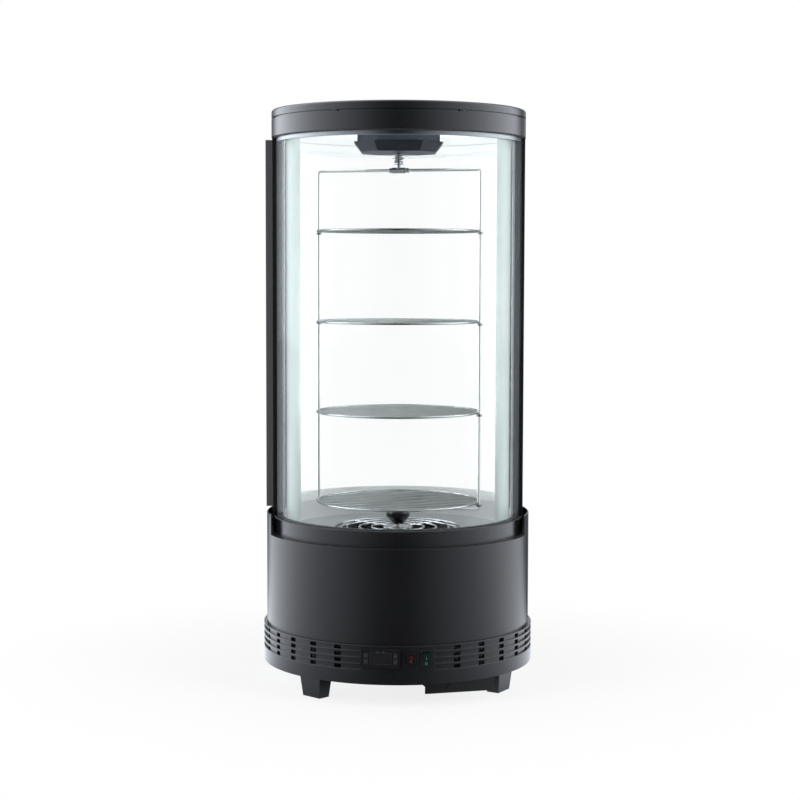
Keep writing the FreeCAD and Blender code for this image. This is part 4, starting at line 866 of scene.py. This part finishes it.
BEZEL_HALF_WIDTH = 18.2 * MILLIMETRE
BEZEL_HALF_HEIGHT = 10 * MILLIMETRE
BEZEL_FRAME = 1.6 * MILLIMETRE
BEZEL_DEPTH = 0.5 * MILLIMETRE
BEZEL_ROUND = 0.25 * MILLIMETRE
NUMERAL_COLUMNS = (-8.5 * MILLIMETRE, 0.5 * MILLIMETRE, 9.5 * MILLIMETRE)
NUMERAL_SEGMENT = 5.4 * MILLIMETRE
NUMERAL_STROKE = 1.1 * MILLIMETRE
NUMERAL_GAP = 0.4 * NUMERAL_STROKE
LAMP_ASIDE = 5 * MILLIMETRE
LAMP_RISE = 11.2 * MILLIMETRE
LAMP_RADIUS = 0.9 * MILLIMETRE
LAMP_HEIGHT = 0.5 * MILLIMETRE
KEY_MARK = 1.9 * MILLIMETRE
KEY_STROKE = 0.35 * KEY_MARK
KEY_PITCH = 0.75 * KEY_MARK
ARROW = ((-KEY_MARK, -0.7 * KEY_MARK), (KEY_MARK, -0.7 * KEY_MARK), (0.0, 0.9 * KEY_MARK))
# Rocker marks: levels of the on and off marks, their size and their finish
ROCKER_MARKS = {
    "power_rocker": (0.8 * MILLIMETRE, -7.8 * MILLIMETRE, 2.1 * MILLIMETRE, "green_mark"),
    "light_rocker": (3.0 * MILLIMETRE, -3.6 * MILLIMETRE, 1.3 * MILLIMETRE, "red_mark"),
}
BAR_STROKE = 0.4
RING_STROKE = 0.35


class CABINET_OT_thermostat(bpy.types.Operator):
    """Puts a bezel, unlit numerals, two lamps and key marks on the thermostat"""

    bl_idname = "cabinet.thermostat"
    bl_label = "Thermostat marks"

    def execute(self, context):
        depth = context.scene.cabinet_fittings.print_depth
        window = outer_face("thermostat_display")
        self.add_bezel(window)
        numerals = bmesh.new()
        for column in NUMERAL_COLUMNS:
            self.add_numeral(numerals, window @ offset(column, 0.0), depth)
        add_piece("thermostat_numerals", numerals, "unlit", "cabinet")
        lamps = bmesh.new()
        for side in (-1, 1):
            placed(lamps, window @ offset(side * LAMP_ASIDE, LAMP_RISE), turned_head, DOME, LAMP_RADIUS,
                   LAMP_HEIGHT, DOME_STEPS)
        add_piece("thermostat_lamps", lamps, "mark", "cabinet")
        self.add_key_marks(depth)
        return {"FINISHED"}

    def add_bezel(self, window):
        """Low frame round the window."""
        bezel = bmesh.new()
        size = Matrix.Diagonal((BEZEL_HALF_WIDTH, BEZEL_HALF_HEIGHT, 1.0, 1.0))
        made = bmesh.ops.create_grid(bezel, x_segments=1, y_segments=1, size=1.0, matrix=size)
        sheet = list(made["verts"][0].link_faces)
        bmesh.ops.inset_region(bezel, faces=sheet, thickness=BEZEL_FRAME, use_even_offset=True,
                               use_boundary=True)
        bmesh.ops.delete(bezel, geom=sheet, context="FACES_ONLY")
        caps = thicken(bezel, list(bezel.faces), BEZEL_DEPTH)
        rims = [edge for edge in bezel.edges if sum(face in caps for face in edge.link_faces) == 1]
        round_edges(bezel, rims, BEZEL_ROUND)
        bezel.transform(window)
        add_piece("thermostat_bezel", bezel, "key", "cabinet")

    def add_numeral(self, shape, place, depth):
        """Seven unlit segments."""
        length = NUMERAL_SEGMENT - NUMERAL_GAP
        for level in (-1, 0, 1):
            placed(shape, place @ offset(0.0, level * NUMERAL_SEGMENT), pointed_bar, length,
                   NUMERAL_STROKE, depth, False)
        for side in (-0.5, 0.5):
            for level in (-0.5, 0.5):
                placed(shape, place @ offset(side * NUMERAL_SEGMENT, level * NUMERAL_SEGMENT), pointed_bar,
                       length, NUMERAL_STROKE, depth, True)

    def add_key_marks(self, depth):
        """A ring, three bars and two arrows on the four keys."""
        marks = {name: bmesh.new() for name in DRESS["key"]}
        faces = {name: outer_face(name) for name in DRESS["key"]}
        placed(marks["set_button"], faces["set_button"], ring_mark, KEY_MARK, KEY_STROKE, depth)
        for row in (-1, 0, 1):
            place = faces["defrost_button"] @ offset(0.0, row * KEY_PITCH)
            placed(marks["defrost_button"], place, pointed_bar, 2 * KEY_MARK, KEY_STROKE, depth, False)
        placed(marks["up_button"], faces["up_button"], plate, ARROW, depth)
        downwards = faces["down_button"] @ Matrix.Rotation(math.pi, 4, "Z")
        placed(marks["down_button"], downwards, plate, ARROW, depth)
        for name, mark in marks.items():
            add_piece(name + "_mark", mark, "key_mark", name)


class CABINET_OT_rocker_marks(bpy.types.Operator):
    """Puts an on and an off mark on each rocker"""

    bl_idname = "cabinet.rocker_marks"
    bl_label = "Rocker marks"

    def execute(self, context):
        depth = context.scene.cabinet_fittings.print_depth
        for name, (on_level, off_level, size, finish) in ROCKER_MARKS.items():
            face = outer_face(name)
            marks = bmesh.new()
            placed(marks, face @ offset(0.0, on_level), pointed_bar, 2 * size, BAR_STROKE * size, depth,
                   True)
            placed(marks, face @ offset(0.0, off_level), ring_mark, size, RING_STROKE * size, depth)
            add_piece(name + "_marks", marks, finish, name)
        return {"FINISHED"}


# Inlet, screws and tray

INLET_PLACES = ((-7 * MILLIMETRE, -2 * MILLIMETRE), (0.0, 2 * MILLIMETRE),
                (7 * MILLIMETRE, -2 * MILLIMETRE))
INLET_DEPTH = 18 * MILLIMETRE
INLET_PIN_HALF_WIDTH = 1.1 * MILLIMETRE
INLET_PIN_HALF_HEIGHT = 2.2 * MILLIMETRE
INLET_PIN_LENGTH = 14 * MILLIMETRE
INLET_PIN_ROUND = 0.6 * MILLIMETRE
SCREW_TURNS = (-64, -32, 0, 32, 64)
SCREW_EDGE = 14 * MILLIMETRE
SCREW_HEAD = 0.45
GRIP_RIB = 1.1 * MILLIMETRE
GRIP_FLANK = 0.7
GRIP_PLACE = (-6 * MILLIMETRE, -11 * MILLIMETRE)
GRIP_MIDDLE = math.radians(127)
GRIP_SWEEP = math.radians(75)
GRIP_STEPS = 24


class CABINET_OT_inlet_pins(bpy.types.Operator):
    """Puts three flat pins in the mains inlet"""

    bl_idname = "cabinet.inlet_pins"
    bl_label = "Inlet pins"

    def execute(self, context):
        face = outer_face("power_inlet")
        pins = bmesh.new()
        for x, y in INLET_PLACES:
            placed(pins, face @ offset(x, y, -INLET_DEPTH), self.make_pin)
        add_piece("inlet_pins", pins, "wire", "cabinet")
        return {"FINISHED"}

    def make_pin(self, shape):
        """Flat pin with a bevelled tip."""
        before = set(shape.faces)
        across, up = INLET_PIN_HALF_WIDTH, INLET_PIN_HALF_HEIGHT
        plate(shape, [(-across, -up), (across, -up), (across, up), (-across, up)], INLET_PIN_LENGTH)
        new = [face for face in shape.faces if face not in before]
        top = max(new, key=lambda face: face.calc_center_median().z)
        round_edges(shape, list(top.edges), INLET_PIN_ROUND)


class CABINET_OT_screws(bpy.types.Operator):
    """Puts screws round the back of the base panel"""

    bl_idname = "cabinet.screws"
    bl_label = "Rear screws"

    def execute(self, context):
        head = context.scene.cabinet_fittings.screw_radius
        radius = radii("base_panel")[1]
        low, high = heights("base_panel")
        screws = bmesh.new()
        for turn in SCREW_TURNS:
            for level in (low + SCREW_EDGE, high - SCREW_EDGE):
                placed(screws, facing(BACK + math.radians(turn), radius, level), turned_head, SOCKET_HEAD,
                       head, head * SCREW_HEAD, SOCKET_HEAD_STEPS)
        add_piece("rear_screws", screws, "wire", "cabinet")
        return {"FINISHED"}


class CABINET_OT_tray_grip(bpy.types.Operator):
    """Puts a curved finger grip on the front of the drip tray"""

    bl_idname = "cabinet.tray_grip"
    bl_label = "Tray grip"

    def execute(self, context):
        radius = context.scene.cabinet_fittings.grip_radius
        flank = GRIP_RIB * GRIP_FLANK
        outline = [(radius - GRIP_RIB, 0.0), (radius + GRIP_RIB, 0.0), (radius + flank, flank),
                   (radius, GRIP_RIB), (radius - flank, flank)]
        grip = bmesh.new()
        placed(grip, outer_face("drip_tray") @ offset(*GRIP_PLACE), turn_outline, outline, GRIP_MIDDLE,
               GRIP_SWEEP, GRIP_STEPS)
        add_piece("tray_grip", grip, "plastic", "drip_tray")
        return {"FINISHED"}


# Studio

# Degrees from the camera round the cabinet, and the level that reflections show there
RING = ((0, 0.0), (10, 0.015), (20, 0.06), (30, 0.14), (43, 0.25), (54, 0.33), (67, 0.46), (81, 0.62),
        (96, 0.82), (106, 0.95), (122, 0.97), (138, 0.85), (147, 0.3), (153, 0.02), (166, 0.04),
        (175, 0.22), (180, 0.22))
RIGHT_TURN = 1.08
RIGHT_LEVEL = 0.85
RING_TINT = (0.95, 1.0, 1.09, 1.0)
WHITE = (1.0, 1.0, 1.0, 1.0)
OVERHEAD = 0.3
OVERHEAD_FROM = 0.55
OVERHEAD_TO = 0.85
FLOOR_SHARE = 0.5
FLOOR_HALF = 12.0
FLOOR_COLOUR = (0.9, 0.9, 0.9, 1.0)
SHADOW_WHITE = 0.82
SHADOW_FROM = 0.3
SHADOW_TO = 0.9
SOFTBOX_WIDTH = 0.9
SOFTBOX_HEIGHT = 1.8
SOFTBOX_PLACE = (1.7, -1.2, 1.0)
SOFTBOX_AIM = Vector((0.0, 0.0, 0.5))
CHAMBER_LIGHT_WIDTH = 0.26
CHAMBER_LIGHT_SPREAD = math.radians(75)
CHAMBER_LIGHT_DROP = 8 * MILLIMETRE
SENSOR_WIDTH = 36.0
PANE_BOUNCES = 24


def studio_ring(graph, aside, ahead, level):
    """Level of the studio round the cabinet: dark at the camera, softboxes beside it, dim behind them."""
    turn = graph.field("ShaderNodeMath", {"operation": "ARCTAN2"}, {0: abs(aside), 1: ahead * -1.0})
    right = aside.above(0.0)
    ring = graph.field(
        "ShaderNodeValToRGB", {"stops": [(degrees / 180.0, share) for degrees, share in RING]},
        {0: turn / math.pi * (1.0 + right * (RIGHT_TURN - 1.0))})
    grey = graph.field("ShaderNodeRGBToBW", None, {0: ring})
    return grey * (1.0 - right * (1.0 - RIGHT_LEVEL)) * level


class CABINET_OT_studio(bpy.types.Operator):
    """Makes the floor, the light and the camera"""

    bl_idname = "cabinet.studio"
    bl_label = "Studio"

    def execute(self, context):
        scene = context.scene
        studio = scene.cabinet_studio
        scene.view_settings.view_transform = "Standard"
        scene.cycles.transparent_max_bounces = PANE_BOUNCES
        self.make_world(scene, studio)
        self.make_floor(scene, studio)
        for side in (-1, 1):
            self.make_softbox(scene, studio, side)
        self.make_chamber_light(scene, studio)
        self.make_camera(scene, studio)
        return {"FINISHED"}

    def make_world(self, scene, studio):
        """White background; reflections show softboxes at the sides and a dark gap round the camera."""
        scene.world = bpy.data.worlds.new("Studio")
        graph = Graph(scene.world)
        x, y, z = graph.split(graph.field("ShaderNodeTexCoord", output="Generated"))
        above = graph.smooth_step(z, from_min=OVERHEAD_FROM, from_max=OVERHEAD_TO, to_max=OVERHEAD)
        level = studio.softbox_level
        mirrored = studio_ring(graph, x, y, level).at_least(above * level)
        path = graph.node("ShaderNodeLightPath")
        seen = Field(graph, path.outputs["Is Camera Ray"])
        through = Field(graph, path.outputs["Is Transmission Ray"])
        gloss = Field(graph, path.outputs["Is Glossy Ray"])
        direct = seen.at_least(through)
        rest = (1.0 - direct).at_least(0.0)
        strength = direct + rest * (gloss * mirrored + (1.0 - gloss) * studio.ambient)
        tint = graph.mix(gloss * rest, WHITE, RING_TINT)
        graph.finish(graph.field("ShaderNodeBackground", None, {"Color": tint, "Strength": strength}))

    def make_floor(self, scene, studio):
        """Pale floor that keeps a soft shadow."""
        mesh = bpy.data.meshes.new("floor")
        shape = bmesh.new()
        bmesh.ops.create_grid(shape, x_segments=1, y_segments=1, size=FLOOR_HALF)
        shape.to_mesh(mesh)
        shape.free()
        floor = bpy.data.objects.new("floor", mesh)
        scene.collection.objects.link(floor)
        graph = material_graph("Pale floor")
        path = graph.node("ShaderNodeLightPath")
        seen = Field(graph, path.outputs["Is Camera Ray"])
        gloss = Field(graph, path.outputs["Is Glossy Ray"])
        away = graph.smooth_step(
            graph.radius(), from_min=SHADOW_FROM, from_max=SHADOW_TO, to_min=SHADOW_WHITE, to_max=1.0)
        pale = graph.principled(base_color=FLOOR_COLOUR, roughness=0.8)
        shown = graph.mix_shaders(seen * away, pale, graph.glow(WHITE, 1.0))
        x, y, _ = graph.split(graph.object_coordinates())
        level = studio_ring(graph, x, y, studio.softbox_level * FLOOR_SHARE)
        mesh.materials.append(graph.finish(graph.mix_shaders(gloss, shown, graph.glow(RING_TINT, level))))

    def add_lamp(self, scene, name, shape, width, power):
        """Area lamp that reflections don't show."""
        data = bpy.data.lights.new(name, "AREA")
        data.shape = shape
        data.size = width
        data.energy = power
        lamp = bpy.data.objects.new(name, data)
        lamp.visible_glossy = False
        scene.collection.objects.link(lamp)
        return lamp

    def make_softbox(self, scene, studio, side):
        name = "softbox_left" if side < 0 else "softbox_right"
        softbox = self.add_lamp(scene, name, "RECTANGLE", SOFTBOX_WIDTH, studio.softbox_power)
        softbox.data.size_y = SOFTBOX_HEIGHT
        aside, ahead, rise = SOFTBOX_PLACE
        spot = Vector((side * aside, ahead, rise))
        turn = (SOFTBOX_AIM - spot).to_track_quat("-Z", "Y").to_matrix()
        softbox.matrix_world = Matrix.Translation(spot) @ turn.to_4x4()

    def make_chamber_light(self, scene, studio):
        """Soft light up into the chamber, unseen itself."""
        light = self.add_lamp(scene, "chamber_light", "DISK", CHAMBER_LIGHT_WIDTH, studio.chamber_power)
        light.data.spread = CHAMBER_LIGHT_SPREAD
        light.location = (0.0, 0.0, heights("shelf_1")[0] - CHAMBER_LIGHT_DROP)
        light.rotation_euler = (math.pi, 0.0, 0.0)
        light.visible_camera = False

    def make_camera(self, scene, studio):
        data = bpy.data.cameras.new("camera")
        data.lens = studio.lens
        data.sensor_width = SENSOR_WIDTH
        camera = bpy.data.objects.new("camera", data)
        camera.location = (studio.aside, -studio.distance, studio.height)
        camera.rotation_euler = (math.pi / 2 - studio.pitch, -studio.roll, 0.0)
        scene.collection.objects.link(camera)
        scene.camera = camera


class CABINET_PT_panel(bpy.types.Panel):
    """Lists the steps that make the cabinet"""

    bl_label = "Cabinet"
    bl_idname = "CABINET_PT_panel"
    bl_space_type = "VIEW_3D"
    bl_region_type = "UI"
    bl_category = "Cabinet"

    def draw(self, context):
        for step in STEPS:
            self.layout.operator(step.bl_idname)


STEPS = (CABINET_OT_finishes, CABINET_OT_glazing, CABINET_OT_lid_latches, CABINET_OT_coupling,
         CABINET_OT_thermostat, CABINET_OT_rocker_marks, CABINET_OT_inlet_pins, CABINET_OT_screws,
         CABINET_OT_tray_grip, CABINET_OT_studio)
CLASSES = (CabinetFinish, CabinetFittings, CabinetStudio, *STEPS, CABINET_PT_panel)


def register():
    for cls in CLASSES:
        bpy.utils.register_class(cls)
    bpy.types.Scene.cabinet_finish = PointerProperty(type=CabinetFinish)
    bpy.types.Scene.cabinet_fittings = PointerProperty(type=CabinetFittings)
    bpy.types.Scene.cabinet_studio = PointerProperty(type=CabinetStudio)


def unregister():
    del bpy.types.Scene.cabinet_studio
    del bpy.types.Scene.cabinet_fittings
    del bpy.types.Scene.cabinet_finish
    for cls in reversed(CLASSES):
        bpy.utils.unregister_class(cls)


def main():
    register()
    for step in STEPS:
        group, name = step.bl_idname.split(".")
        getattr(getattr(bpy.ops, group), name)()


if __name__ == "__main__":
    main()
